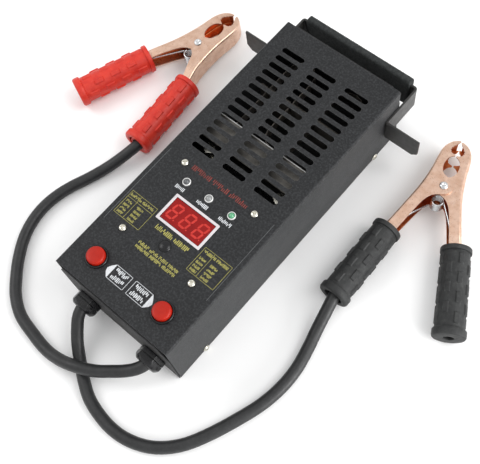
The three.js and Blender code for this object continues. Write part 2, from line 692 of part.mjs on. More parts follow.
// A moulded sleeve over a leg, with a collar at both ends and a hole in its end wall.
// It is stretched taller where the leg is tall, and round again at its end.
function sleeve(slide, hole) {
  const { length, body, collar, rear, bore, endWall, stretch } = SLEEVE;
  const shape = ring([[collar, 0], [collar, 4], [body, 4.6], [body + 0.3, length - 7], [rear, length - 6],
    [rear, length - 1], [rear - 1, length], [hole, length], [hole, length - endWall],
    [bore, length - endWall], [bore, 0]], 20);
  // The profile stands along +Z; laid down, it points along -Y, and is then turned to follow the leg.
  const turned = shape.rotateX(Math.PI / 2);
  const position = turned.attributes.position;
  for (let i = 0; i < position.count; i += 1) {
    const along = Math.max(0, Math.min(1, -position.getY(i) / length));
    position.setZ(i, position.getZ(i) * (1 + stretch * (1 - along)));
  }
  turned.rotateZ(-legAngle);
  const [x, y] = besideLeg(slide, 0);
  return turned.translate(x, y, 0);
}

function mirrorX(geometry) {
  const flipped = geometry.clone().scale(-1, 1, 1);
  return closed(flipped);
}

const CLAMPS = {
  red: { pivot: [-129.8, 94.7], turn: -10.5, cableAtRight: true, slide: -1.5, freeSlide: 6, ajar: 3.2,
    springRise: 0, grip: finish.redGrip },
  black: { pivot: [122.3, 110.6], turn: 15.4, cableAtRight: false, slide: 16, freeSlide: 12.4, ajar: -0.8,
    springRise: 3, grip: finish.blackGrip },
};

for (const [side, clamp] of Object.entries(CLAMPS)) {
  const frame = new THREE.Group();
  frame.position.set(clamp.pivot[0], clamp.pivot[1], CLAMP.pivotHeight);
  frame.rotation.z = THREE.MathUtils.degToRad(clamp.turn);
  tester.add(frame);
  const swing = new THREE.Group();
  swing.rotation.z = THREE.MathUtils.degToRad(clamp.cableAtRight ? clamp.ajar : -clamp.ajar);
  frame.add(swing);
  const hand = (geometry) => (clamp.cableAtRight ? mirrorX(geometry) : geometry);
  const other = (geometry) => (clamp.cableAtRight ? geometry : mirrorX(geometry));
  const cableLeg = clampHalf(CLAMP.height, clamp.slide, clamp.slide + SLEEVE.length - 16);
  const freeEnd = clamp.freeSlide + SLEEVE.length - SLEEVE.endWall - 0.6;
  const freeLeg = clampHalf(CLAMP.nested, clamp.freeSlide, freeEnd);
  add(`${side}_clamp_cable_jaw`, hand(cableLeg), finish.copper(), frame);
  add(`${side}_clamp_free_jaw`, other(freeLeg), finish.copper(), swing);
  add(`${side}_clamp_rivet`, clampRivet(), finish.zinc(), frame);
  add(`${side}_clamp_spring`, hand(clampSpring(clamp.springRise)), finish.zinc(), frame);
  add(`${side}_clamp_cable_sleeve`, hand(sleeve(clamp.slide, SLEEVE.cableHole)), clamp.grip(), frame);
  add(`${side}_clamp_free_sleeve`, other(sleeve(clamp.freeSlide, SLEEVE.freeHole)), clamp.grip(), swing);
}

// ---------------------------------------------------------------- cables

const FLOOR_Z = 5.3;
const gland = (x) => [[x, CABLE.innerEnd - GAP, GLAND.z], [x, -141, GLAND.z]];

// The routes run from the glands over the surface and into the clamps' sleeves; red passes over black once.
const ROUTES = {
  black: [...gland(GLANDS.black), [-34.9, -148.6, 19.8], [-32.7, -155, 18.1], [-28.4, -161.2, 15.2],
    [-23.4, -167.5, 11.8], [-17.3, -173.7, 7.9], [-8.2, -180.8, FLOOR_Z], [3.4, -188.4, FLOOR_Z],
    [16, -194.8, FLOOR_Z], [38.1, -199.3, FLOOR_Z], [55.5, -198.4, FLOOR_Z], [71.5, -193, FLOOR_Z],
    [84, -184.6, FLOOR_Z], [95, -172.2, FLOOR_Z], [104, -155.6, FLOOR_Z], [112.5, -135, FLOOR_Z],
    [119.8, -113.1, FLOOR_Z], [123, -93.9, FLOOR_Z], [122.8, -75.1, FLOOR_Z], [119.4, -57, FLOOR_Z],
    [115.9, -42.5, 6.6], [113.1, -28, 10.2], [110.8, -15.8, 13], [109.4, -7, 13.4]],
  red: [...gland(GLANDS.red), [34.9, -148.6, 20], [31.6, -155.2, 18.9], [25.4, -161.9, 17.6],
    [17.2, -168.8, 17], [9.7, -174.8, 16.7], [1.3, -179.8, 16.5], [-8.3, -184, 15.9], [-20.1, -187.5, 12],
    [-33.6, -189.4, 7.6], [-44.5, -189.2, 5.7], [-56, -187.6, FLOOR_Z], [-77, -183.2, FLOOR_Z],
    [-92.5, -174.5, FLOOR_Z], [-105, -162.6, FLOOR_Z], [-116.6, -148.5, FLOOR_Z], [-125.6, -134, FLOOR_Z],
    [-131, -119, FLOOR_Z], [-132.9, -104.5, FLOOR_Z], [-131.6, -89.6, FLOOR_Z], [-127.6, -75, FLOOR_Z],
    [-121.6, -60, FLOOR_Z], [-115.4, -43, 6.4], [-110.2, -28, 9.6], [-106.4, -14, 12.8], [-105.2, -5, 13.2]],
};

for (const [side, route] of Object.entries(ROUTES)) {
  add(`cable_${side}`, tube(route, CABLE.radius, CABLE.sides, 44), finish.rubber());
  const x = GLANDS[side];
  const post = POSTS[x < 0 ? 'left' : 'right'];
  const lead = [[x, CABLE.innerEnd, GLAND.z], [x, -120, GLAND.z], [x, -90, 12], [x, -50, 12], [x, -20, 16],
    [post, -6, 26], [post, 1, 38], [post, 5, 40]];
  add(`inner_lead_${side}`, tube(lead, CABLE.radius - 1, 8, 10), finish.rubber());
}

export default tester;
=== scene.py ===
import json
import math
import random

import bmesh
import bpy
from mathutils import Matrix, Vector, noise


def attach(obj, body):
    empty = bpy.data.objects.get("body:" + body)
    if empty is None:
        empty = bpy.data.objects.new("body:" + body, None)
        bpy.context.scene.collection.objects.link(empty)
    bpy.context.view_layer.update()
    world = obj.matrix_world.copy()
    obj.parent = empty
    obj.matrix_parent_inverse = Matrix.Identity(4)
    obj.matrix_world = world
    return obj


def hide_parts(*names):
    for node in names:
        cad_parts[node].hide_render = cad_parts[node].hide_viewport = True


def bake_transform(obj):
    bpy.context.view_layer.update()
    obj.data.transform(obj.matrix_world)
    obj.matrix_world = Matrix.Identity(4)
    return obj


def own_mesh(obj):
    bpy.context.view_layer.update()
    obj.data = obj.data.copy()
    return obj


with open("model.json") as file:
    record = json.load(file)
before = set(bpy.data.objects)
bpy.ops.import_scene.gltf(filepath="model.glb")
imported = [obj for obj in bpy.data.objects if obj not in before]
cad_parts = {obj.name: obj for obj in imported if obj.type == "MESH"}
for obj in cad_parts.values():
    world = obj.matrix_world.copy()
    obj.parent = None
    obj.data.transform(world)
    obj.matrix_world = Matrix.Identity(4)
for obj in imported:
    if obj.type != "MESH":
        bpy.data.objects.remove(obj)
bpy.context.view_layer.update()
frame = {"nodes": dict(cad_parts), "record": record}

MM = 0.001
SLOT_OF = {row["node"]: row["material_slot"] for row in frame["record"]["subparts"]}
draw = random.Random(7)


# -------- camera, light and floor

def add_camera():
    right = Vector((0.7510, 0.6525, -0.1007))
    up = Vector((-0.57134, 0.71870, 0.39629))
    back = Vector((0.33098, -0.24009, 0.91259))
    data = bpy.data.cameras.new("camera")
    data.lens = 60.37
    data.sensor_width = 36
    data.clip_start = 0.01
    camera = bpy.data.objects.new("camera", data)
    bpy.context.scene.collection.objects.link(camera)
    pose = Matrix((right, up, back)).transposed().to_4x4()
    pose.translation = Vector((0.23367, -0.17546, 0.60916))
    camera.matrix_world = pose
    bpy.context.scene.camera = camera


def add_area(name, place, aim, size, energy):
    data = bpy.data.lights.new(name, "AREA")
    data.size = size
    data.energy = energy
    lamp = bpy.data.objects.new(name, data)
    lamp.location = place
    lamp.rotation_euler = (Vector(aim) - Vector(place)).to_track_quat("-Z", "Y").to_euler()
    bpy.context.scene.collection.objects.link(lamp)


def add_studio():
    world = bpy.data.worlds.new("studio")
    world.use_nodes = True
    sky = world.node_tree.nodes["Background"]
    sky.inputs["Color"].default_value = (1, 1, 1, 1)
    sky.inputs["Strength"].default_value = 0.88
    scene = bpy.context.scene
    scene.world = world
    scene.view_settings.view_transform = "Standard"
    add_area("far_right", (1.6, 1.0, 2.2), (0, 0, 0), 1.5, 30)
    add_area("near_left", (-1.9, -0.7, 2.1), (0, 0, 0), 1.5, 20)
    add_area("low_right", (2.4, 0.2, 0.55), (0, 0, 0.03), 1.2, 48)
    bpy.ops.mesh.primitive_plane_add(size=6, location=(0, 0, -0.0004))
    floor = bpy.context.object
    floor.name = "floor"
    paper, tree, shader = principled("floor_paper")
    set_inputs(tree, shader, {"Base Color": (0.97, 0.97, 0.97, 1), "Roughness": 0.9})
    floor.data.materials.append(paper)


# -------- materials

def principled(name):
    material = bpy.data.materials.new(name)
    material.use_nodes = True
    return material, material.node_tree, material.node_tree.nodes["Principled BSDF"]


def set_inputs(tree, node, inputs):
    """Each input gets a value, or a link from another node's output."""
    for key, value in inputs.items():
        if isinstance(value, bpy.types.NodeSocket):
            tree.links.new(value, node.inputs[key])
        else:
            node.inputs[key].default_value = value


def add_node(tree, kind, output, inputs, **settings):
    node = tree.nodes.new("ShaderNode" + kind)
    for key, value in settings.items():
        setattr(node, key, value)
    set_inputs(tree, node, inputs)
    return node.outputs[output]


def noise_node(tree, place, scale, detail=4.0, rough=0.55):
    return add_node(tree, "TexNoise", "Fac",
                    {"Vector": place, "Scale": scale, "Detail": detail, "Roughness": rough})


def ramp_node(tree, source, low_color, high_color, low, high):
    """Blends from one color to the other between two values of the source."""
    color = add_node(tree, "ValToRGB", "Color", {"Fac": source})
    for element, position, value in zip(color.node.color_ramp.elements, (low, high), (low_color, high_color)):
        element.position = position
        element.color = (*value, 1)
    return color


def range_node(tree, source, low, high, from_low=0.3, from_high=0.7):
    return add_node(tree, "MapRange", "Result", {"Value": source, "From Min": from_low,
                                                 "From Max": from_high, "To Min": low, "To Max": high})


def mix_color(tree, share, first, second):
    return add_node(tree, "Mix", "Result", {"Factor": share, "A": first, "B": second}, data_type="RGBA")


def edge_mask(tree, place, radius, amount):
    """White where the surface turns sharply and a noise lets the finish rub through."""
    rounded = add_node(tree, "Bevel", "Normal", {"Radius": radius * MM}, samples=6)
    facing = add_node(tree, "NewGeometry", "Normal", {})
    dot = add_node(tree, "VectorMath", "Value", {0: rounded, 1: facing}, operation="DOT_PRODUCT")
    edge = range_node(tree, dot, amount, 0, 0.80, 0.98)
    rub = range_node(tree, noise_node(tree, place, 260, 5, 0.65), 0.2, 1, 0.4, 0.6)
    return add_node(tree, "Math", "Value", {0: edge, 1: rub}, operation="MULTIPLY")


FINISH = {}


def surface(name, dark, light, roughness, patch, grain, bump, depth=0.1, spread=0.08, specular=0.5,
            worn=None, dust=None, **constants):
    """A procedural finish: colour patches, varying gloss, a fine relief, and edge wear or dust where asked.

    patch and grain are noise scales per metre, and depth is the relief's height in millimetres. dust is
    its noise scale, the noise value it starts from, its amount and its color. worn is the radius of an
    edge in millimetres, its amount and the bare color."""
    material, tree, shader = principled(name)
    place = add_node(tree, "TexCoord", "Object", {})
    color = ramp_node(tree, noise_node(tree, place, patch), dark, light, 0.32, 0.68)
    if dust:
        scale, start, amount, dust_color = dust
        specks = noise_node(tree, place, scale, 6, 0.7)
        share = range_node(tree, specks, 0, amount, start, 0.75)
        color = mix_color(tree, share, color, (*dust_color, 1))
    if worn:
        radius, amount, bare_color = worn
        color = mix_color(tree, edge_mask(tree, place, radius, amount), color, (*bare_color, 1))
    gloss = noise_node(tree, place, patch * 3)
    relief = add_node(tree, "Bump", "Normal", {"Strength": bump, "Distance": depth * MM,
                                               "Height": noise_node(tree, place, grain, 3)})
    set_inputs(tree, shader, {key.replace("_", " ").title(): value for key, value in constants.items()})
    set_inputs(tree, shader, {"Base Color": color, "Normal": relief, "Specular IOR Level": specular,
                              "Roughness": range_node(tree, gloss, roughness - spread, roughness + spread)})
    FINISH[name] = material


def make_finishes():
    bare = (0.7, 0.5, (0.16, 0.16, 0.165))
    surface("cover_paint", (0.0075, 0.0082, 0.0092), (0.0100, 0.0106, 0.0118), 0.56, patch=30, grain=800,
            bump=0.7, depth=0.16, spread=0.03, worn=bare, specular=0.3, sheen_weight=0.12,
            sheen_roughness=0.35, dust=(640, 0.46, 0.95, (0.042, 0.044, 0.047)))
    surface("tray_paint", (0.009, 0.009, 0.0095), (0.013, 0.013, 0.0135), 0.58, patch=45, grain=800,
            bump=0.7, depth=0.16, spread=0.03, worn=bare, specular=0.25,
            dust=(640, 0.46, 0.8, (0.035, 0.035, 0.036)))
    surface("bracket_paint", (0.024, 0.024, 0.023), (0.034, 0.033, 0.032), 0.42, patch=80, grain=1100,
            bump=0.35, depth=0.06, worn=bare, specular=0.4)
    surface("grip_foam", (0.016, 0.018, 0.018), (0.034, 0.037, 0.037), 0.88, patch=420, grain=1300,
            bump=0.9, depth=0.35, specular=0.3, dust=(900, 0.5, 0.35, (0.07, 0.075, 0.075)))
    surface("screw_steel", (0.62, 0.60, 0.52), (0.80, 0.78, 0.70), 0.26, patch=500, grain=2500, bump=0.15,
            depth=0.03, metallic=1.0, dust=(1500, 0.5, 0.3, (0.25, 0.24, 0.2)))
    surface("zinc_steel", (0.58, 0.59, 0.60), (0.76, 0.77, 0.78), 0.24, patch=400, grain=2200, bump=0.12,
            depth=0.03, metallic=1.0)
    surface("board_green", (0.008, 0.06, 0.025), (0.012, 0.09, 0.04), 0.4, patch=200, grain=800, bump=0.2)
    surface("black_plastic", (0.004, 0.0042, 0.005), (0.007, 0.0073, 0.0085), 0.26, patch=160, grain=1400,
            bump=0.25, depth=0.08, specular=0.36)
    surface("white_plastic", (0.54, 0.51, 0.525), (0.62, 0.585, 0.60), 0.42, patch=200, grain=1600,
            bump=0.12, depth=0.04)
    surface("red_window", (0.20, 0.003, 0.003), (0.25, 0.005, 0.004), 0.2, patch=120, grain=300, bump=0.06,
            depth=0.05, spread=0.04, specular=0.25)
    for name, dark, light, roughness in (
            ("lens_dark", (0.055, 0.06, 0.065), (0.085, 0.09, 0.095), 0.12),
            ("lens_grey", (0.20, 0.21, 0.21), (0.28, 0.29, 0.29), 0.14),
            ("lens_green", (0.05, 0.26, 0.12), (0.09, 0.36, 0.18), 0.12)):
        surface(name, dark, light, roughness, patch=300, grain=500, bump=0.05, spread=0.04, coat_weight=0.8)
    surface("button_red", (0.33, 0.009, 0.003), (0.39, 0.014, 0.005), 0.36, patch=150, grain=1200, bump=0.2,
            depth=0.08, specular=0.25)
    surface("ceramic_board", (0.045, 0.04, 0.034), (0.075, 0.067, 0.056), 0.85, patch=120, grain=900,
            bump=0.5, depth=0.2)
    surface("resistance_strip", (0.14, 0.125, 0.115), (0.33, 0.29, 0.26), 0.38, patch=90, grain=1400,
            bump=0.3, metallic=0.9)
    surface("cable_rubber", (0.011, 0.0115, 0.012), (0.019, 0.0195, 0.0205), 0.46, patch=140, grain=1500,
            bump=0.3, depth=0.08, specular=0.42, dust=(500, 0.5, 0.22, (0.07, 0.07, 0.068)))
    surface("copper_plate", (0.67, 0.43, 0.31), (0.80, 0.57, 0.45), 0.34, patch=170, grain=1100, bump=0.2,
            depth=0.05, spread=0.1, metallic=1.0, dust=(420, 0.5, 0.5, (0.52, 0.33, 0.25)))
    # Darker, redder copper for the halves' inner skins: painted reflection and shade of copper facing copper.
    surface("copper_inside", (0.50, 0.13, 0.045), (0.66, 0.22, 0.08), 0.36, patch=200, grain=1100, bump=0.2,
            depth=0.05, metallic=1.0)
    surface("sleeve_red", (0.54, 0.022, 0.012), (0.64, 0.034, 0.017), 0.46, patch=130, grain=1100,
            bump=0.35, depth=0.1, specular=0.4, dust=(260, 0.5, 0.25, (0.72, 0.10, 0.05)))
    surface("sleeve_black", (0.016, 0.0165, 0.017), (0.027, 0.028, 0.028), 0.62, patch=130, grain=1100,
            bump=0.45, depth=0.1, specular=0.35, dust=(330, 0.5, 0.35, (0.085, 0.09, 0.085)))
    for name, dark, light in (("white", (0.52, 0.54, 0.56), (0.68, 0.70, 0.72)),
                              ("yellow", (0.26, 0.24, 0.05), (0.42, 0.385, 0.10)),
                              ("red", (0.20, 0.022, 0.013), (0.30, 0.036, 0.022)),
                              ("faint", (0.09, 0.095, 0.10), (0.16, 0.165, 0.17))):
        surface(f"print_{name}", dark, light, 0.6, patch=900, grain=1800, bump=0.1, depth=0.03)
    # A pale, mostly diffuse metal: a painted reflection on the lamp rings and a painted highlight on the heat
    # shield's rim.
    surface("painted_glint_metal", (0.66, 0.66, 0.65), (0.78, 0.78, 0.77), 0.3, patch=400, grain=2200, bump=0.1,
            depth=0.03, metallic=0.25)
    surface("shield_steel", (0.07, 0.066, 0.060), (0.155, 0.148, 0.135), 0.5, patch=140, grain=900,
            bump=0.3, depth=0.1, metallic=0.7)
    surface("digit_red", (0.44, 0.026, 0.020), (0.53, 0.038, 0.028), 0.3, patch=300, grain=900, bump=0.05,
            specular=0.25)


make_finishes()


# -------- mesh helpers

def link_object(name, mesh):
    obj = bpy.data.objects.new(name, mesh)
    bpy.context.scene.collection.objects.link(obj)
    return obj


def object_from(name, bm):
    mesh = bpy.data.meshes.new(name)
    bmesh.ops.recalc_face_normals(bm, faces=bm.faces)
    bm.to_mesh(mesh)
    bm.free()
    return link_object(name, mesh)


def settle(obj):
    """Applies every modifier."""
    graph = bpy.context.evaluated_depsgraph_get()
    mesh = bpy.data.meshes.new_from_object(obj.evaluated_get(graph), preserve_all_data_layers=True,
                                           depsgraph=graph)
    obj.modifiers.clear()
    obj.data = mesh
    return obj


def smooth(obj, angle):
    obj.data.shade_smooth()
    obj.data.set_sharp_from_angle(angle=math.radians(angle))
    return obj


def soften(obj, width, segments=2, angle=40):
    """Rounds the sharp edges by width (mm) and keeps the flat faces flat in the shading."""
    obj.data.shade_smooth()
    bevel = obj.modifiers.new("bevel", "BEVEL")
    bevel.width = width * MM
    bevel.segments = segments
    bevel.limit_method = "ANGLE"
    bevel.angle_limit = math.radians(angle)
    bevel.miter_outer = "MITER_ARC"
    bevel.use_clamp_overlap = True
    weighted = obj.modifiers.new("weighted", "WEIGHTED_NORMAL")
    weighted.keep_sharp = True
    return settle(obj)


def finish_piece(obj, node=None, body="tester", finish=None, slot=None):
    """Puts a piece on its body with the given finish, or else the finish of the slot of the CAD node it
    replaces, and hides that node.
    """
    slot = slot or SLOT_OF[node]
    material = FINISH[finish or slot]
    if obj.data.materials:
        obj.data.materials[0] = material
    else:
        obj.data.materials.append(material)
    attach(obj, body)
    if node:
        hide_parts(node)
    return obj


def to_axis(axis, a, b, along):
    """The point at (a, b) in an outline's plane and at a distance along the axis it is drawn out on."""
    return {"z": (a, b, along), "y": (a, along, b), "x": (along, a, b)}[axis]


def add_prism(bm, outline, low, high, axis="z"):
    rings = [[bm.verts.new([c * MM for c in to_axis(axis, a, b, along)]) for a, b in outline]
             for along in (low, high)]
    bm.faces.new(rings[0])
    bm.faces.new(rings[1][::-1])
    for i in range(len(outline)):
        j = (i + 1) % len(outline)
        bm.faces.new((rings[0][j], rings[0][i], rings[1][i], rings[1][j]))


def prism(name, outline, low, high, axis="z"):
    bm = bmesh.new()
    add_prism(bm, outline, low, high, axis)
    return object_from(name, bm)


def carve(obj, shapes, operation="DIFFERENCE"):
    """Cuts an object with prisms, each (outline, low, high) or (outline, low, high, axis)."""
    bm = bmesh.new()
    for shape in shapes:
        add_prism(bm, *shape)
    tool = object_from("cutter", bm)
    cut = obj.modifiers.new("cut", "BOOLEAN")
    cut.operation = operation
    cut.solver = "EXACT"
    cut.object = tool
    settle(obj)
    bpy.data.objects.remove(tool)
    return obj


def arc(cx, cy, radius, start, end, steps):
    points = []
    for i in range(steps + 1):
        angle = math.radians(start + (end - start) * i / steps)
        points.append((cx + radius * math.cos(angle), cy + radius * math.sin(angle)))
    return points


def circle(cx, cy, radius, steps=40):
    return arc(cx, cy, radius, 0, 360, steps)[:-1]


def rectangle(x0, y0, x1, y1):
    return [(x0, y0), (x1, y0), (x1, y1), (x0, y1)]


def rounded_rectangle(x0, y0, x1, y1, r, steps):
    return (arc(x1 - r, y0 + r, r, -90, 0, steps) + arc(x1 - r, y1 - r, r, 0, 90, steps)
            + arc(x0 + r, y1 - r, r, 90, 180, steps) + arc(x0 + r, y0 + r, r, 180, 270, steps))


def capsule(x, y, length, width):
    r, steps = width / 2, 16
    reach = length / 2 - r
    return arc(x + reach, y, r, -90, 90, steps) + arc(x - reach, y, r, 90, 270, steps)


def turned(name, profile, sides=48, closed=False):
    """A body of revolution about Z. Profile points are (radius, height) in mm."""
    bm = bmesh.new()
    rings = []
    angles = [2 * math.pi * i / sides for i in range(sides)]
    for r, z in profile:
        if r < 1e-6:
            rings.append([bm.verts.new((0, 0, z * MM))])
            continue
        rings.append([bm.verts.new(Vector((r * math.cos(a), r * math.sin(a), z)) * MM) for a in angles])
    pairs = list(zip(rings, rings[1:] + rings[:1])) if closed else list(zip(rings, rings[1:]))
    for lower, upper in pairs:
        for i in range(sides):
            j = (i + 1) % sides
            corners = [lower[i % len(lower)], lower[j % len(lower)],
                       upper[j % len(upper)], upper[i % len(upper)]]
            face = list(dict.fromkeys(corners))
            if len(face) > 2:
                bm.faces.new(face)
    return object_from(name, bm)


def moved(obj, x=0, y=0, z=0, turn=None):
    matrix = Matrix.Translation(Vector((x, y, z)) * MM)
    if turn is not None:
        matrix = matrix @ turn
    obj.data.transform(matrix)
    return obj


def remade(node, bevel, finish=None):
    """A CAD piece made again with its flat faces whole and its edges rounded."""
    bm = bmesh.new()
    bm.from_mesh(frame["nodes"][node].data)
    bmesh.ops.remove_doubles(bm, verts=bm.verts, dist=1e-6)
    bmesh.ops.dissolve_limit(bm, angle_limit=math.radians(0.5), verts=bm.verts, edges=bm.edges)
    obj = object_from(node + "_look", bm)
    soften(obj, bevel, angle=35)
    return finish_piece(obj, node, finish=finish)


# -------- case

TOP = 65.3
HALF_WIDTH = 57.5
HALF_LENGTH = 136.3
BEND = 1.8
SHEET = 1.0
SLOT_COLUMNS = (-32, 0, 32)
SLOT_ROWS = [2.3 + 8.49 * row for row in range(14)]
FACE_SCREWS = [(-35.5, -85.2), (35.5, -85.2), (-35.5, -14.8), (35.5, -14.8)]
SIDE_SCREWS = [(1, -107), (1, 107), (-1, -107), (-1, 107)]
SIDE_SCREW_Z = 3.6
LEDS = {"left": -23, "middle": 0, "right": 23}
LED_Y = -26.5
BUTTONS = {"left": -34, "right": 34}
BUTTON_Y = -114.6
PLUG_Y = -76
GLANDS = {"black": -35, "red": 35}
GLAND_Z = 20
WALL_Y = -137.6


def make_cover():
    skirt = 0.4
    corner = HALF_WIDTH - BEND
    outline = [(HALF_WIDTH, skirt), *arc(corner, TOP - BEND, BEND, 0, 90, 10),
               *arc(-corner, TOP - BEND, BEND, 90, 180, 10),
               (-HALF_WIDTH, skirt), (-HALF_WIDTH + SHEET, skirt),
               *arc(-corner, TOP - BEND, BEND - SHEET, 180, 90, 8),
               *arc(corner, TOP - BEND, BEND - SHEET, 90, 0, 8), (HALF_WIDTH - SHEET, skirt)]
    cover = prism("cover_look", outline, -HALF_LENGTH, HALF_LENGTH, "y")
    low, high = TOP - 3, TOP + 3
    slot_length, slot_width, led_hole, button_hole, plug_hole, screw_hole = 22.3, 4.9, 3.2, 8.4, 3.2, 1.8
    cuts = [(capsule(x, y, slot_length, slot_width), low, high) for x in SLOT_COLUMNS for y in SLOT_ROWS]
    cuts.append((rectangle(-20.2, -61.2, 20.2, -40), low, high))
    cuts += [(circle(x, LED_Y, led_hole, 32), low, high) for x in LEDS.values()]
    cuts += [(circle(x, BUTTON_Y, button_hole, 48), low, high) for x in BUTTONS.values()]
    cuts.append((circle(0, PLUG_Y, plug_hole, 32), low, high))
    cuts += [(circle(x, y, screw_hole, 24), low, high) for x, y in FACE_SCREWS]
    cuts += [(circle(y, SIDE_SCREW_Z, screw_hole, 24), side * 56 - 3, side * 56 + 3, "x")
             for side, y in SIDE_SCREWS]
    for side in (-1, 1):  # a shallow line along each side, just below its fold
        x0, x1 = sorted((side * (HALF_WIDTH - 0.35), side * (HALF_WIDTH + 1)))
        cuts.append((rectangle(x0, 63.45, x1, 63.95), -HALF_LENGTH - 1, HALF_LENGTH + 1, "y"))
    carve(cover, cuts)
    soften(cover, 0.22)
    finish_piece(cover, "top_cover")


def make_screw(kind, number, place, turn):
    profile = [(0, 1.9), (1.0, 1.88), (1.9, 1.72), (2.5, 1.35), (2.85, 0.8), (3.0, 0.28), (2.95, 0), (1.4, 0),
               (1.4, -6), (0, -6)]
    screw = turned(f"{kind}_screw_look_{number}", profile, 40)
    arm, half, depth = 1.75, 0.36, 0.75
    for x, y in ((arm, half), (half, arm)):
        carve(screw, [(rectangle(-x, -y, x, y), depth, 3)])
    soften(screw, 0.09)
    moved(screw, *place, turn=turn)
    finish_piece(screw, f"{kind}_screw_{number}")


def make_screws():
    for i, (x, y) in enumerate(FACE_SCREWS):
        make_screw("face", i + 1, (x, y, TOP + 0.1), Matrix.Rotation(0.4 + i, 4, "Z"))
    for i, (side, y) in enumerate(SIDE_SCREWS):
        make_screw("side", i + 1, (side * (HALF_WIDTH + 0.1), y, SIDE_SCREW_Z),
                   Matrix.Rotation(side * math.pi / 2, 4, "Y") @ Matrix.Rotation(0.5 + i, 4, "Z"))


def make_bracket():
    outer, t, low, high, tip, ear_y, cross = 59.7, 1.9, 22.7, 44.9, 90.45, 117.6, 159.7
    half = [*arc(outer - 3, cross - 3, 3, 90, 0, 8), *arc(outer + 0.8, ear_y + t + 0.8, 0.8, 180, 270, 4),
            (tip, ear_y + t), (tip, ear_y), *arc(outer - t + 1.4, ear_y + 1.4, 1.4, 270, 180, 5),
            *arc(outer - t - 1.6, cross - t - 1.6, 1.6, 0, 90, 5)]
    outline = half + [(-x, y) for x, y in reversed(half)]
    bracket = prism("bracket_look", outline, low, high)
    cuts = []
    for side in (-1, 1):
        corner = [(side * (tip + 1), low - 1), (side * (tip + 1), low + 5), (side * tip, low + 5),
                  (side * (tip - 5), low), (side * (tip - 5), low - 1)]
        cuts.append((corner, ear_y - 1, ear_y + t + 1, "y"))
    carve(bracket, cuts)
    soften(bracket, 0.3)
    finish_piece(bracket, "carry_bracket")


def loft(name, loops):
    """Skins a ring of closed loops of points, in metres: the last loop joins the first."""
    bm = bmesh.new()
    rings = [[bm.verts.new(point) for point in loop] for loop in loops]
    count = len(rings[0])
    for a, b in zip(rings, rings[1:] + rings[:1]):
        for i in range(count):
            j = (i + 1) % count
            bm.faces.new((a[i], a[j], b[j], b[i]))
    return object_from(name, bm)


def resampled(loop, count):
    """count points at even steps round a closed outline."""
    lengths = [math.dist(a, b) for a, b in zip(loop, loop[1:] + loop[:1])]
    total = sum(lengths)
    points, i, passed = [], 0, 0.0
    for k in range(count):
        want = total * k / count
        while passed + lengths[i] < want:
            passed += lengths[i]
            i += 1
        t = (want - passed) / lengths[i] if lengths[i] else 0
        (ax, ay), (bx, by) = loop[i], loop[(i + 1) % len(loop)]
        points.append((ax + (bx - ax) * t, ay + (by - ay) * t))
    return points


def make_grip():
    reach, near, far, low, high, rounding = 53.5, 155.3, 162.2, 17.8, 51, 1.3
    around, along = 140, 180
    outer = resampled(rounded_rectangle(near, low, far, high, 2.4, 8), around)
    inner = resampled(rectangle(157.5, 22.4, 160, 45.2), around)
    middle = ((near + far) / 2, (low + high) / 2)
    loops = []
    for k in range(along + 1):
        x = -reach + 2 * reach * k / along
        edge = reach - abs(x)
        pinch = rounding * (1 - math.sqrt(max(0, 1 - (1 - min(edge, rounding) / rounding) ** 2)))
        loop = []
        for y, z in outer:
            out = Vector((0, y - middle[0], z - middle[1])).normalized()
            place = Vector((x, y, z))
            rough = 0.22 * abs(noise.noise(place * 0.55)) + 0.12 * abs(noise.noise(place * 1.7))
            loop.append((place - out * (pinch + rough)) * MM)
        loops.append(loop)
    loops.append([Vector((reach - 0.4, y, z)) * MM for y, z in inner])
    loops.append([Vector((-reach + 0.4, y, z)) * MM for y, z in inner])
    grip = smooth(loft("grip_look", loops), 60)
    finish_piece(grip, "bracket_grip")


# -------- display, lamps, buttons, plug

def make_display():
    bezel = prism("bezel_look", rounded_rectangle(-22, -63, 22, -38.2, 0.6, 5), TOP + 0.1, TOP + 1.0)
    carve(bezel, [(rounded_rectangle(-19.9, -60.9, 19.9, -40.3, 0.4, 4), TOP - 1, TOP + 3)])
    soften(bezel, 0.22, 3)
    finish_piece(bezel, "display_bezel")
    window = prism("window_look", rectangle(-19.6, -60.6, 19.6, -40.6), 63.6, TOP + 0.45)
    soften(window, 0.2)
    finish_piece(window, "display_window")
    make_digits()


def segment_outline(x0, y0, x1, y1, width):
    """A display segment: a bar with pointed ends between two corners of the digit."""
    along = Vector((x1 - x0, y1 - y0)).normalized()
    across = Vector((-along.y, along.x)) * width / 2
    a = Vector((x0, y0)) + along * 0.25
    b = Vector((x1, y1)) - along * 0.25
    inset = along * width / 2
    return [tuple(p) for p in (a, a + inset + across, b - inset + across, b, b - inset - across,
                               a + inset - across)]


def make_digits():
    width, height, stroke, lean, middle = 8.3, 14.2, 1.7, 0.2, -50.6
    low, high = TOP + 0.452, TOP + 0.49
    bm = bmesh.new()
    x, y = width / 2 - stroke / 2, height / 2 - stroke / 2
    strokes = [(-x, y, x, y), (-x, 0, x, 0), (-x, -y, x, -y), (-x, 0, -x, y), (x, 0, x, y), (-x, -y, -x, 0),
               (x, -y, x, 0)]
    for center in (-12.9, 0.1, 13.1):
        for stroke_line in strokes:
            outline = [(center + px + py * lean, middle + py)
                       for px, py in segment_outline(*stroke_line, stroke)]
            add_prism(bm, outline, low, high)
        dot = (center + width / 2 + 0.9 - y * lean, middle - y)
        add_prism(bm, circle(*dot, 0.6, 16), low, high)
    digits = object_from("digits", bm)
    finish_piece(digits, finish="digit_red", slot="red_window")


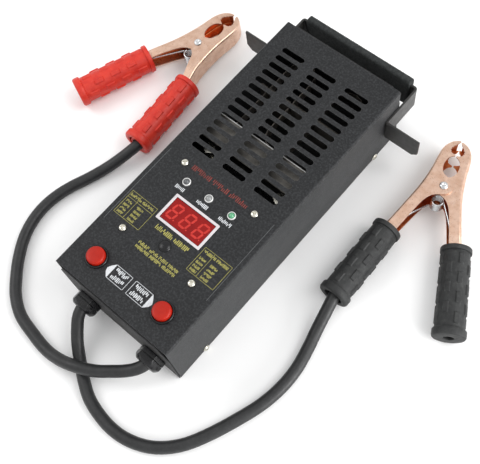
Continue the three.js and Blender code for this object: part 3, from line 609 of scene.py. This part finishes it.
def make_lamps():
    """Lenses and rings. Their profiles' heights are above the case's top."""
    dome = [(2.4 * math.sin(a), 0.42 + 2.2 * math.cos(a)) for a in (math.pi / 24 * i for i in range(1, 13))]
    lens_profile = [(0, 2.62), *dome, (2.4, -7.1), (0, -7.1)]
    ring_profile = [(3.4, 0.1), (3.4, 0.6), (3.3, 0.95), (3.05, 1.18), (2.75, 1.2), (2.58, 1.0),
                    (2.55, 0.7), (2.55, -3.5), (2.9, -3.5), (2.9, 0.1)]
    for side, x in LEDS.items():
        lens = smooth(moved(turned(f"lens_look_{side}", lens_profile, 40), x, LED_Y, TOP), 50)
        finish_piece(lens, f"led_lens_{side}")
        ring = turned(f"ring_look_{side}", ring_profile, closed=True)
        smooth(moved(ring, x, LED_Y, TOP), 30)
        # The rings get the pale, mostly diffuse metal: a painted reflection.
        finish_piece(ring, f"led_ring_{side}", finish="painted_glint_metal")


def make_buttons():
    bezel = [(9.1, 65.4), (9.1, 66.5), (9.0, 66.85), (8.7, 67.2), (8.35, 67.38), (8.0, 67.38),
             (7.78, 67.25), (7.7, 67), (7.7, 52), (2.6, 52), (2.6, 50.2), (8.1, 50.2), (8.1, 65.4)]
    cap = [(0, 71.2), (3.0, 71.18), (5.0, 71.12), (5.9, 71.02), (6.5, 70.8), (6.95, 70.4), (7.2, 69.9),
           (7.3, 69.3), (7.3, 62.5), (2.1, 62.5), (2.1, 46), (0, 46)]
    for side, x in BUTTONS.items():
        ring = turned(f"button_ring_look_{side}", bezel, 72, closed=True)
        smooth(moved(ring, x, BUTTON_Y), 32)
        finish_piece(ring, f"button_bezel_{side}")
        top = smooth(moved(turned(f"button_top_look_{side}", cap, 72), x, BUTTON_Y), 40)
        finish_piece(top, f"button_cap_{side}", f"button_{side}")


def make_button_springs():
    """Each coil sits between the housing's floor and the cap's skirt."""
    radius, thickness, turns, steps = 4.4, 0.45, 4, 128
    floor, skirt, travel, gap = 52, 62.5, 2.5, 0.15
    low = floor + thickness + gap
    rise = skirt - floor - 2 * (thickness + gap)
    for side, x in BUTTONS.items():
        line = []
        for i in range(steps + 1):
            angle = 2 * math.pi * turns * i / steps
            line.append((x + radius * math.cos(angle), BUTTON_Y + radius * math.sin(angle),
                         low + rise * i / steps))
        spring = meshed(wire(f"button_spring_look_{side}", line, thickness, 3))
        finish_piece(spring, f"button_spring_{side}")
        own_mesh(spring)


def make_plug():
    """The profile's heights are above the case's top."""
    profile = [(0, 2.0), (1.3, 1.93), (2.5, 1.7), (3.6, 1.3), (4.4, 0.75), (4.85, 0.25), (4.9, 0.1),
               (2.9, 0.1), (2.9, -5), (0, -5)]
    plug = smooth(moved(turned("plug_look", profile), 0, PLUG_Y, TOP), 40)
    finish_piece(plug, "hole_plug")


# -------- printed marks

# The ink's lower and upper faces, and the tables' near and far edges.
INK = (TOP + 0.02, TOP + 0.06)
TABLE_LOW = -79.3
TABLE_HIGH = -57.2
TABLE_LINE = 0.25


def word_row(bm, x0, x1, y, height, words=1, weight=0.62):
    """Generic marks in place of small print: upright strokes of uneven height, thickness and gap."""
    count = max(2, round((x1 - x0) / (height * 0.36)))
    step = (x1 - x0) / count
    spaces = {round(count * k / words) for k in range(1, words)}
    for i in range(count):
        if i in spaces:
            continue
        x = x0 + i * step
        wide = step * draw.uniform(0.75, 1.1) * weight
        bottom, top = draw.choice(((-0.5, 0.5), (-0.5, 0.5), (-0.5, 0.12), (-0.1, 0.5), (-0.35, 0.35)))
        add_prism(bm, rectangle(x, y + bottom * height, x + wide, y + top * height), *INK)


def frame_lines(bm, x0, y0, x1, y1, line):
    for corners in ((x0, y0, x1, y0 + line), (x0, y1 - line, x1, y1),
                    (x0, y0, x0 + line, y1), (x1 - line, y0, x1, y1)):
        add_prism(bm, rectangle(*corners), *INK)


def print_table(bm, left, right, rule, heading, columns, heading_rule=None):
    """A framed table: a heading, a rule between its two columns and four rows of marks in each."""
    frame_lines(bm, left, TABLE_LOW, right, TABLE_HIGH, 0.28)
    if heading_rule:
        add_prism(bm, rectangle(left, heading_rule, right, heading_rule + TABLE_LINE), *INK)
    add_prism(bm, rectangle(rule, TABLE_LOW, rule + TABLE_LINE, TABLE_HIGH), *INK)
    word_row(bm, *heading, -60.2, 2.6, 2)
    for y in (-66.2, -69.9, -73.4, -76.9):
        for start, end in columns:
            word_row(bm, start, end, y, 2.3)


def make_prints():
    """Lamp captions, faint edge lines, two tables, lines by the display, the title, button captions."""
    white, yellow, red, faint = bmesh.new(), bmesh.new(), bmesh.new(), bmesh.new()
    for x, half in zip(LEDS.values(), (4.4, 5.6, 6.2)):
        word_row(white, x - half - 0.6, x + half - 0.6, -33.4, 3.3)
    for edge in (-53.2, 52.5):
        add_prism(faint, rectangle(edge, -88, edge + 0.25, -12), *INK)
    print_table(yellow, -51.3, -24.8, -41.6, (-50.2, -26.5), ((-49.5, -43.6), (-38.5, -32)), -63.3)
    print_table(yellow, 24.5, 51, 33.9, (26, 49.5), ((26.3, 32.6), (37, 44)))
    word_row(yellow, -16.5, 16.5, -67.8, 4.0, 2)
    word_row(yellow, -18, 22, -85.3, 2.9, 4)
    word_row(yellow, -18, 22, -89, 2.9, 3)
    word_row(red, -28, 28, -13.5, 4.4, 3, 0.38)
    caption_low, caption_high = -121.5, -109
    arrowhead = [(0, caption_high), (2.9, -112.6), (4.3, -115.2), (3.4, -118), (0, caption_low)]
    for x0, x1, edge, side in ((-17.8, -1, -17.8, -1), (2.4, 19.7, 19.7, 1)):
        frame_lines(white, x0, caption_low, x1, caption_high, 0.36)
        for y in (-112.3, -117.9):
            word_row(white, x0 + 2.4, x1 - 2.2, y, 3.9, 1, 0.66)
        add_prism(white, [(edge + side * out, y) for out, y in arrowhead], *INK)
    for name, marks in (("white", white), ("yellow", yellow), ("red", red), ("faint", faint)):
        finish_piece(object_from(f"print_{name}", marks), finish=f"print_{name}", slot="white_plastic")


# -------- glands and cables

def make_glands():
    hexagon = circle(0, 0, 12.2, 6)
    for side, x in GLANDS.items():
        flange = prism(f"gland_body_look_{side}", hexagon, -4.3, -0.1, "y")
        carve(flange, [(circle(0, 0, 6.3, 40), -6, 2, "y")])
        soften(flange, 0.5, 3)
        moved(flange, x, WALL_Y, GLAND_Z)
        finish_piece(flange, f"gland_body_{side}")
        profile = [(11.9, 4.6), (11.9, 7.4), (11.4, 8.2), (9.6, 10.3), (8.8, 11.0), (7.4, 11.2), (6.2, 11.2),
                   (5.9, 10.9), (5.9, 4.6)]
        nut = turned(f"gland_nut_look_{side}", profile, 72, closed=True)
        moved(nut, turn=Matrix.Rotation(math.pi / 2, 4, "X"))
        carve(nut, [(hexagon, -14, 0, "y")], "INTERSECT")
        soften(nut, 0.35, 3)
        moved(nut, x, WALL_Y, GLAND_Z)
        finish_piece(nut, f"gland_nut_{side}")


# The cables' middle lines. A point without a height lies on the floor.
FLOOR_Z = 5.3
BLACK_ROUTE = [
    (-35, -141, 20), (-34.9, -148.6, 19.8), (-32.7, -155, 18.1), (-28.4, -161.2, 15.2),
    (-23.4, -167.5, 11.8), (-17.3, -173.7, 7.9), (-8.2, -180.8), (3.4, -188.4), (16, -194.8),
    (38.1, -199.3), (55.5, -198.4), (71.5, -193), (84, -184.6), (95, -172.2), (104, -155.6), (112.5, -135),
    (119.8, -113.1), (123, -93.9), (122.8, -75.1), (119.4, -57), (115.9, -42.5, 6.6), (113.1, -28, 10.2),
    (110.8, -15.8, 13), (109.4, -7, 13.4)]
RED_ROUTE = [
    (35, -141, 20), (34.9, -148.6, 20), (31.6, -155.2, 18.9), (25.4, -161.9, 17.6), (17.2, -168.8, 17),
    (9.7, -174.8, 16.7), (1.3, -179.8, 16.5), (-8.3, -184, 15.9), (-20.1, -187.5, 12), (-33.6, -189.4, 7.6),
    (-44.5, -189.2, 5.7), (-56, -187.6), (-77, -183.2), (-92.5, -174.5), (-105, -162.6), (-116.6, -148.5),
    (-125.6, -134), (-131, -119), (-132.9, -104.5), (-131.6, -89.6), (-127.6, -75), (-121.6, -60),
    (-115.4, -43, 6.4), (-110.2, -28, 9.6), (-106.4, -14, 12.8), (-105.2, -5, 13.2)]


def smooth_line(points, steps):
    """A centripetal Catmull-Rom line through the points, of any dimension."""
    points = [Vector(p) for p in points]
    ends = [points[0] * 2 - points[1], *points, points[-1] * 2 - points[-2]]
    line = []
    for p0, p1, p2, p3 in zip(ends, ends[1:], ends[2:], ends[3:]):
        t1 = (p1 - p0).length ** 0.5
        t2 = t1 + (p2 - p1).length ** 0.5
        t3 = t2 + (p3 - p2).length ** 0.5
        for k in range(steps):
            t = t1 + (t2 - t1) * k / steps
            a1 = p0 * ((t1 - t) / t1) + p1 * (t / t1)
            a2 = p1 * ((t2 - t) / (t2 - t1)) + p2 * ((t - t1) / (t2 - t1))
            a3 = p2 * ((t3 - t) / (t3 - t2)) + p3 * ((t - t2) / (t3 - t2))
            b1 = a1 * ((t2 - t) / t2) + a2 * (t / t2)
            b2 = a2 * ((t3 - t) / (t3 - t1)) + a3 * ((t - t1) / (t3 - t1))
            line.append(b1 * ((t2 - t) / (t2 - t1)) + b2 * ((t - t1) / (t2 - t1)))
    line.append(points[-1])
    return line


def wire(name, line, radius, resolution):
    """A round wire along a line of points in mm."""
    curve = bpy.data.curves.new(name, "CURVE")
    curve.dimensions = "3D"
    curve.bevel_depth = radius * MM
    curve.bevel_resolution = resolution
    curve.use_fill_caps = True
    spline = curve.splines.new("POLY")
    spline.points.add(len(line) - 1)
    for point, place in zip(spline.points, line):
        point.co = (*(Vector(place) * MM), 1)
    return link_object(name, curve)


def meshed(curve):
    """The wire's surface as a mesh."""
    graph = bpy.context.evaluated_depsgraph_get()
    mesh = bpy.data.meshes.new_from_object(curve.evaluated_get(graph))
    name = curve.name
    bpy.data.objects.remove(curve)
    mesh.shade_smooth()
    return link_object(name, mesh)


def make_cables(sleeves):
    for side, route in (("black", BLACK_ROUTE), ("red", RED_ROUTE)):
        line = smooth_line([(*point, FLOOR_Z)[:3] for point in route], 8)
        cable = wire(f"cable_look_{side}", line, 5, 8)
        finish_piece(cable, f"cable_{side}")


# -------- clamps

LEG_ANGLE = math.radians(14.2)
LEG_HALF = 4.8
LOBE = 7.8
TIP = 43.8
CABLE_HALF = {"height": 20, "leg": 56.5, "hole": 8}
FREE_HALF = {"height": 17.4, "leg": 67.9, "hole": 4.2}
CLAMP_SHEET = 1.0
FOLD = 2.2
CHEEK_STEPS = 12
FOLD_STEPS = 6
WEB_STEPS = 8
PIVOT_Z = 13.2
# Turn and ajar are in degrees. The slides are how far down the legs of the two halves the sleeves start.
CLAMPS = {
    "red": {"pivot": (-129.8, 94.7), "turn": -10.5, "cable_right": True, "slide": -1.5, "free_slide": 6,
            "ajar": 3.2, "spring_rise": 0},
    "black": {"pivot": (122.3, 110.6), "turn": 15.4, "cable_right": False, "slide": 16, "free_slide": 12.4,
              "ajar": -0.8, "spring_rise": 3},
}


def beside_leg(along, across):
    """A point in a half's plane, at a distance down its leg and at another to the leg's outer side."""
    return (-23.8 - math.sin(LEG_ANGLE) * along - math.cos(LEG_ANGLE) * across,
            -32 - math.cos(LEG_ANGLE) * along + math.sin(LEG_ANGLE) * across)


def outer_edge(slide, leg_end):
    points = [(-2.6, 44.2), (-6.2, 42.8), (-9.2, 39.8), (-11.4, 36), (-12.8, 31), (-13.6, 24), (-14.4, 14),
              (-16, 3), (-18.2, -7), (-21, -17), beside_leg(slide + 2, 3.4), beside_leg(slide + 14, LEG_HALF),
              beside_leg(leg_end, LEG_HALF)]
    return [tuple(point) for point in smooth_line(points, 14)]


def inner_edge(slide, leg_end):
    """From the tooth tips down to the leg."""
    teeth = [(-0.45, TIP), (-1.4, 41.2), (-2.9, 40.2), (-3, 38.9), (-4.6, 38), (-4.4, 36.8), (-5.9, 35.8),
             (-5.4, 34.6), (-6.2, 33.4), (-5, 32.4), (-5.2, 31.4), (-3.8, 30.4), (-0.8, 29.4), (-0.8, 28.4)]
    opening = [(-0.25 - 6.2 * math.sin(a), 18.6 - 9.6 * math.cos(a))
               for a in (math.pi * i / 32 for i in range(29, 3, -1))]
    lobe = [(LOBE * math.cos(a), LOBE * math.sin(a))
            for a in (math.pi / 2 - 0.2 - (math.pi - 0.55) * i / 30 for i in range(31))]
    spread = min(1.6, max(0, slide) * 0.13)
    crotch = smooth_line([(-2.4, -9.2), (-6.2, -11.6), (-10.4, -18),
                          beside_leg(slide + 2, -LEG_HALF - spread), beside_leg(slide + 14, -LEG_HALF)], 10)
    return teeth + opening + lobe + [tuple(point) for point in crotch] + [beside_leg(leg_end, -LEG_HALF)]


def x_at(line, y):
    """The x of a line that runs downwards, at a height y."""
    if y >= line[0][1]:
        return line[0][0]
    for (ax, ay), (bx, by) in zip(line, line[1:]):
        if by <= y <= ay:
            return ax if ay - by < 1e-9 else ax + (bx - ax) * (ay - y) / (ay - by)
    return line[-1][0]


def half_height(y, height):
    """Half the clear height across the cheeks at y, averaged over 6 mm so that the steps are eased."""
    nesting = (CABLE_HALF["height"] - height) / 6
    stops = [(height - 4, 48), (height, 30), (height, -20), (17.6 - nesting, -30), (14.5 - nesting, -46),
             (12 - nesting, -120)]
    shifts = (-3, -1.5, 0, 1.5, 3)
    return sum(x_at(stops, y + shift) for shift in shifts) / len(shifts) / 2


def outer_partner(y):
    """The height on the outer edge that faces y: at the tip it stands a little above the teeth."""
    pairs = [(44.2, 43.8), (42.8, 41.2), (39.8, 38.9), (36, 35.8), (30, 30)]
    return x_at(pairs, y) if y > 30 else y


def cross_section(outside, inside, half):
    """The outer skin across a half at one height: a cheek, a fold, the web, and the same mirrored."""
    toward = inside - outside
    reach = toward.length
    toward /= reach
    r = min(FOLD, reach * 0.45, half * 0.45)
    path = [(reach + (r - reach) * i / CHEEK_STEPS, -half) for i in range(CHEEK_STEPS)]
    path += [(r - r * math.sin(a), -half + r - r * math.cos(a))
             for a in (math.pi / 2 * i / FOLD_STEPS for i in range(FOLD_STEPS + 1))]
    path += [(0, -half + r + 2 * (half - r) * i / WEB_STEPS) for i in range(1, WEB_STEPS)]
    path += [(s, -z) for s, z in reversed(path[:CHEEK_STEPS + FOLD_STEPS + 1])]
    return [Vector((*(outside + toward * s), z)) for s, z in path]


def inner_skin(stations):
    """The points a sheet's thickness inside the outer skin's."""
    rows, columns = len(stations), len(stations[0])
    skin = []
    for i in range(rows):
        row = []
        middle = (stations[i][0] + stations[i][-1]) / 2
        for j in range(columns):
            down = stations[min(i + 1, rows - 1)][j] - stations[max(i - 1, 0)][j]
            across = stations[i][min(j + 1, columns - 1)] - stations[i][max(j - 1, 0)]
            if j < CHEEK_STEPS:
                normal = Vector((0, 0, -1))
            elif j >= columns - CHEEK_STEPS:
                normal = Vector((0, 0, 1))
            else:
                normal = down.cross(across).normalized()
                if normal.dot(stations[i][j] - middle) < 0:
                    normal = -normal
            row.append(stations[i][j] - normal * CLAMP_SHEET)
        skin.append(row)
    return skin


def channel(name, half, slide, place, painted_lit_leg=False):
    """One pressed half of a clamp: two cheeks and a web, of sheet with rounded folds.

    Its inner skin has the darker, redder copper, which is painted reflection and shade, but on a painted-lit
    leg the cheek is as pale inside as outside, which is painted light."""
    outer = outer_edge(slide, slide + half["leg"])
    inner = inner_edge(slide, slide + half["leg"])
    neck, bottom, fine, coarse = -20, inner[-1][1] + 0.2, 0.4, 2
    ys = [TIP]
    while ys[-1] > neck:
        ys.append(ys[-1] - fine)
    while ys[-1] > bottom + coarse:
        ys.append(ys[-1] - coarse)
    ys.append(bottom)
    stations = []
    for y in ys:
        outside = Vector((x_at(outer, outer_partner(y)), outer_partner(y)))
        stations.append(cross_section(outside, Vector((x_at(inner, y), y)), half_height(y, half["height"])))
    bm = bmesh.new()
    skins = [[[bm.verts.new(place @ (p * MM)) for p in row] for row in skin]
             for skin in (stations, inner_skin(stations))]
    last_row, last_column = len(stations) - 1, len(stations[0]) - 1
    for material, skin in enumerate(skins):
        for i in range(last_row):
            for j in range(last_column):
                face = bm.faces.new((skin[i][j], skin[i][j + 1], skin[i + 1][j + 1], skin[i + 1][j]))
                # The inner cheek faces down a painted-lit leg take the pale outer copper: painted light.
                painted_lit = painted_lit_leg and ys[i] < -12 and j < CHEEK_STEPS
                face.material_index = 0 if painted_lit else material
    out, ins = skins
    for i in range(last_row):
        for j in (0, last_column):
            bm.faces.new((out[i][j], out[i + 1][j], ins[i + 1][j], ins[i][j]))
    for j in range(last_column):
        for i in (0, last_row):
            bm.faces.new((out[i][j], out[i][j + 1], ins[i][j + 1], ins[i][j]))
    obj = object_from(name, bm)
    obj.data.materials.append(FINISH["copper_plate"])
    obj.data.materials.append(FINISH["copper_inside"])
    return smooth(obj, 40)


RIB = {"columns": 8, "width": 4.2, "length": 8.8, "period": 16, "first": 11, "margin": 12, "height": 1.0}
SLEEVE = {"length": 72.5, "body": 11.2, "collar": 12.3, "rear": 13.1, "bore": 10, "stretch": 0.06, "wall": 4}


def sleeve_profile(hole):
    """Points (radius, distance along) down the sleeve's outside, and back up its bore."""
    length, body, collar = SLEEVE["length"], SLEEVE["body"], SLEEVE["collar"]
    rear, bore = SLEEVE["rear"], SLEEVE["bore"]
    outside = [(collar - 0.5, 0), (collar - 0.15, 0.12), (collar, 0.5), (collar, 3.3), (collar - 0.12, 3.75),
               (collar - 0.5, 3.95), (body - 0.35, 4.05), (body - 0.4, 4.5), (body - 0.35, 5.1), (body, 5.3)]
    stops = {6.0, length - 7.6}
    for parity in (0, 1):
        center = RIB["first"] + parity * RIB["period"] / 2
        while center < length - RIB["margin"]:
            for edge, inward in ((center - RIB["length"] / 2, 1), (center + RIB["length"] / 2, -1)):
                stops.update((edge - inward * 0.35, edge + inward * 0.1, edge + inward * 0.55))
            center += RIB["period"]
    outside += [(body + 0.3 * along / length, along) for along in sorted(stops)]
    outside += [(body + 0.3, length - 7), (rear - 0.9, length - 6.6), (rear - 0.3, length - 6.3),
                (rear, length - 5.8), (rear, length - 1.9), (rear - 0.25, length - 1),
                (rear - 0.8, length - 0.3), (rear - 1.6, length)]
    back = [(hole + 0.4, length), (hole, length - 0.4), (hole, length - SLEEVE["wall"]),
            (bore, length - SLEEVE["wall"]), (bore, 0.4), (bore + 0.4, 0)]
    return outside, back


def rib_share(offset, half):
    """1 on a rib, 0 off it, with a short slope between."""
    return min(1, max(0, (half + 0.3 - abs(offset)) / 0.75))


def rib_height(angle, along):
    column = round(angle / (2 * math.pi) * RIB["columns"])
    arc_offset = (angle - column * 2 * math.pi / RIB["columns"]) * SLEEVE["body"]
    start = RIB["first"] + (column % 2) * RIB["period"] / 2
    row = round((along - start) / RIB["period"])
    center = start + row * RIB["period"]
    if row < 0 or center > SLEEVE["length"] - RIB["margin"]:
        return 0
    return (RIB["height"] * rib_share(arc_offset, RIB["width"] / 2)
            * rib_share(along - center, RIB["length"] / 2))


def leg_frame(slide):
    """From a sleeve's own frame, which lies along -Y, to its place on a half's leg."""
    return Matrix.Translation(Vector((*beside_leg(slide, 0), 0)) * MM) @ Matrix.Rotation(-LEG_ANGLE, 4, "Z")


def make_sleeve(name, slide, hole, place):
    outside, back = sleeve_profile(hole)
    angles = []
    for column in range(RIB["columns"]):
        center = 2 * math.pi * column / RIB["columns"]
        half = RIB["width"] / 2
        for offset in (-half - 1.6, -half - 0.8, -half - 0.3, -half + 0.1, -half + 0.5, -0.6, 0.6, half - 0.5,
                       half - 0.1, half + 0.3, half + 0.8, half + 1.6):
            angles.append(center + offset / SLEEVE["body"])
    leg, turn = leg_frame(slide), 0.3
    loops = []
    for k, (radius, along) in enumerate(outside + back):
        ribbed = 5.3 < along < SLEEVE["length"] - 7.4 and k < len(outside)
        tall = 1 + SLEEVE["stretch"] * (1 - along / SLEEVE["length"])
        loop = []
        for angle in angles:
            r = radius + (rib_height(angle, along) if ribbed else 0)
            at = angle + turn
            loop.append(place @ (leg @ (Vector((r * math.cos(at), -along, r * math.sin(at) * tall)) * MM)))
        loops.append(loop)
    return smooth(loft(name, loops), 38)


def make_spring(side, place, leg_rise):
    """A coil with a leg into each handle."""
    radius, turns, behind, thickness, pitch, count = 4.7, 5.5, 10.8, 0.8, 1.9, 220
    low = -FREE_HALF["height"] / 2 + CLAMP_SHEET + thickness + 0.3
    elbow = (-17.2, -31)
    tip = beside_leg(24, -1.2)
    coil = []
    for i in range(count + 1):
        angle = math.pi + 2 * math.pi * turns * i / count
        coil.append((radius * math.cos(angle), radius * math.sin(angle) - behind,
                     low + pitch * turns * i / count))
    fixed_leg = smooth_line([(tip[0], tip[1], leg_rise - 1), (*elbow, leg_rise - 1.3), coil[0]], 6)
    free_elbow = (-elbow[0], elbow[1], leg_rise + 1.3)
    free_leg = smooth_line([coil[-1], free_elbow, (-tip[0], tip[1], leg_rise + 1)], 6)

    def placed(line):
        return [(place @ (Vector(point) * MM)) / MM for point in line]

    node, jaw = f"{side}_clamp_spring", f"{side}_clamp_jaw"
    spring = wire(f"{side}_spring_look", placed(fixed_leg[:-1] + coil), thickness, 4)
    finish_piece(spring, node)
    leg = meshed(wire(f"{side}_spring_leg_look", placed([coil[-2]] + free_leg), thickness, 4))
    leg.data.materials.append(FINISH[SLOT_OF[node]])
    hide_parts(node)
    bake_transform(leg)


def make_clamps():
    """Makes both clamps and returns each one's sleeve on the cable, by its side."""
    cable_sleeves = {}
    for side, clamp in CLAMPS.items():
        frame_place = (Matrix.Translation(Vector((*clamp["pivot"], PIVOT_Z)) * MM)
                       @ Matrix.Rotation(math.radians(clamp["turn"]), 4, "Z"))
        swing = math.radians(clamp["ajar"] if clamp["cable_right"] else -clamp["ajar"])
        swung = frame_place @ Matrix.Rotation(swing, 4, "Z")
        flip = Matrix.Scale(-1, 4, (1, 0, 0))
        cable_place = frame_place @ flip if clamp["cable_right"] else frame_place
        free_place = swung if clamp["cable_right"] else swung @ flip
        jaw = f"{side}_clamp_jaw"
        slide, free_slide = clamp["slide"], clamp["free_slide"]
        cable_half = channel(f"{side}_cable_half", CABLE_HALF, slide, cable_place)
        free_half = channel(f"{side}_free_half", FREE_HALF, free_slide, free_place, painted_lit_leg=side == "red")
        finish_piece(cable_half, f"{side}_clamp_cable_jaw")
        finish_piece(free_half, f"{side}_clamp_free_jaw", jaw)
        cable_sleeve = make_sleeve(f"{side}_cable_sleeve_look", slide, CABLE_HALF["hole"], cable_place)
        cable_sleeves[side] = finish_piece(cable_sleeve, f"{side}_clamp_cable_sleeve")
        free_sleeve = make_sleeve(f"{side}_free_sleeve_look", free_slide, FREE_HALF["hole"], free_place)
        finish_piece(free_sleeve, f"{side}_clamp_free_sleeve", jaw)
        make_rivet(side, frame_place)
        if side == "red":
            make_lip(cable_place, slide)
        make_spring(side, cable_place, clamp["spring_rise"])
    return cable_sleeves


def make_lip(place, slide):
    """The torn-open collar that curls round the cable inside the red sleeve's end."""
    length, outer, inner, depth = SLEEVE["length"], 7.1, 5.7, 7
    outline = arc(0, 0, outer, 150, 430, 40) + arc(0, 0, inner, 430, 150, 40)
    lip = prism("red_sleeve_lip", outline, -length + 0.3, -length + depth, "y")
    soften(lip, 0.3)
    lip.data.transform(place @ leg_frame(slide) @ Matrix.Translation((-1.2 * MM, 0, 0)))
    finish_piece(lip, slot="sleeve_red")


def make_rivet(side, place):
    reach = 10.1
    head = [(0, reach + 1.1), (0.9, reach + 1.15), (1.3, reach + 1.5), (1.7, reach + 1.6),
            (2.4, reach + 1.45), (3.1, reach + 0.95), (3.5, reach + 0.35), (3.6, reach)]
    profile = head + [(2.3, reach), (2.3, -reach)] + [(r, -z) for r, z in reversed(head)]
    rivet = smooth(turned(f"{side}_rivet_look", profile, 40), 40)
    rivet.data.transform(place)
    finish_piece(rivet, f"{side}_clamp_rivet")


# -------- the pieces that keep their CAD shape

def paint_rim_highlight(shield):
    """The faces along the top of the heat shield's wall are painted pale: a painted highlight along its edge.
    """
    rim_y, rim_z = 38.5 * MM, 56.5 * MM
    bm = bmesh.new()
    bm.from_mesh(shield.data)
    bmesh.ops.bisect_plane(bm, geom=bm.verts[:] + bm.edges[:] + bm.faces[:], plane_co=(0, rim_y, 0),
                           plane_no=(0, 1, 0))
    bm.to_mesh(shield.data)
    bm.free()
    shield.data.materials.append(FINISH["painted_glint_metal"])
    for face in shield.data.polygons:
        face.material_index = 1 if face.center.y > rim_y and face.center.z > rim_z else 0


def dress_rest():
    """Pieces that are hidden or hardly seen: bevelled copies, or the CAD mesh with a better material."""
    bevels = {"base_tray": 0.25, "heat_shield": 0.2, "load_ribbon": 0.1, "load_support": 0.2,
              "terminal_bar": 0.3, "terminal_bolt_left": 0.3, "terminal_bolt_right": 0.3, "load_relay": 0.4,
              "circuit_board": 0.2, "display_module": 0.3}
    for node, bevel in bevels.items():
        if node == "heat_shield":
            # The heat shield gets a painted highlight along its rim.
            paint_rim_highlight(remade(node, bevel, "shield_steel"))
        else:
            remade(node, bevel)
    for node, obj in frame["nodes"].items():
        if not obj.hide_render:
            obj.data.materials.clear()
            obj.data.materials.append(FINISH[SLOT_OF[node]])


add_camera()
add_studio()
make_cover()
make_screws()
make_bracket()
make_grip()
make_display()
make_lamps()
make_buttons()
make_button_springs()
make_plug()
make_prints()
make_glands()
make_cables(make_clamps())
dress_rest()
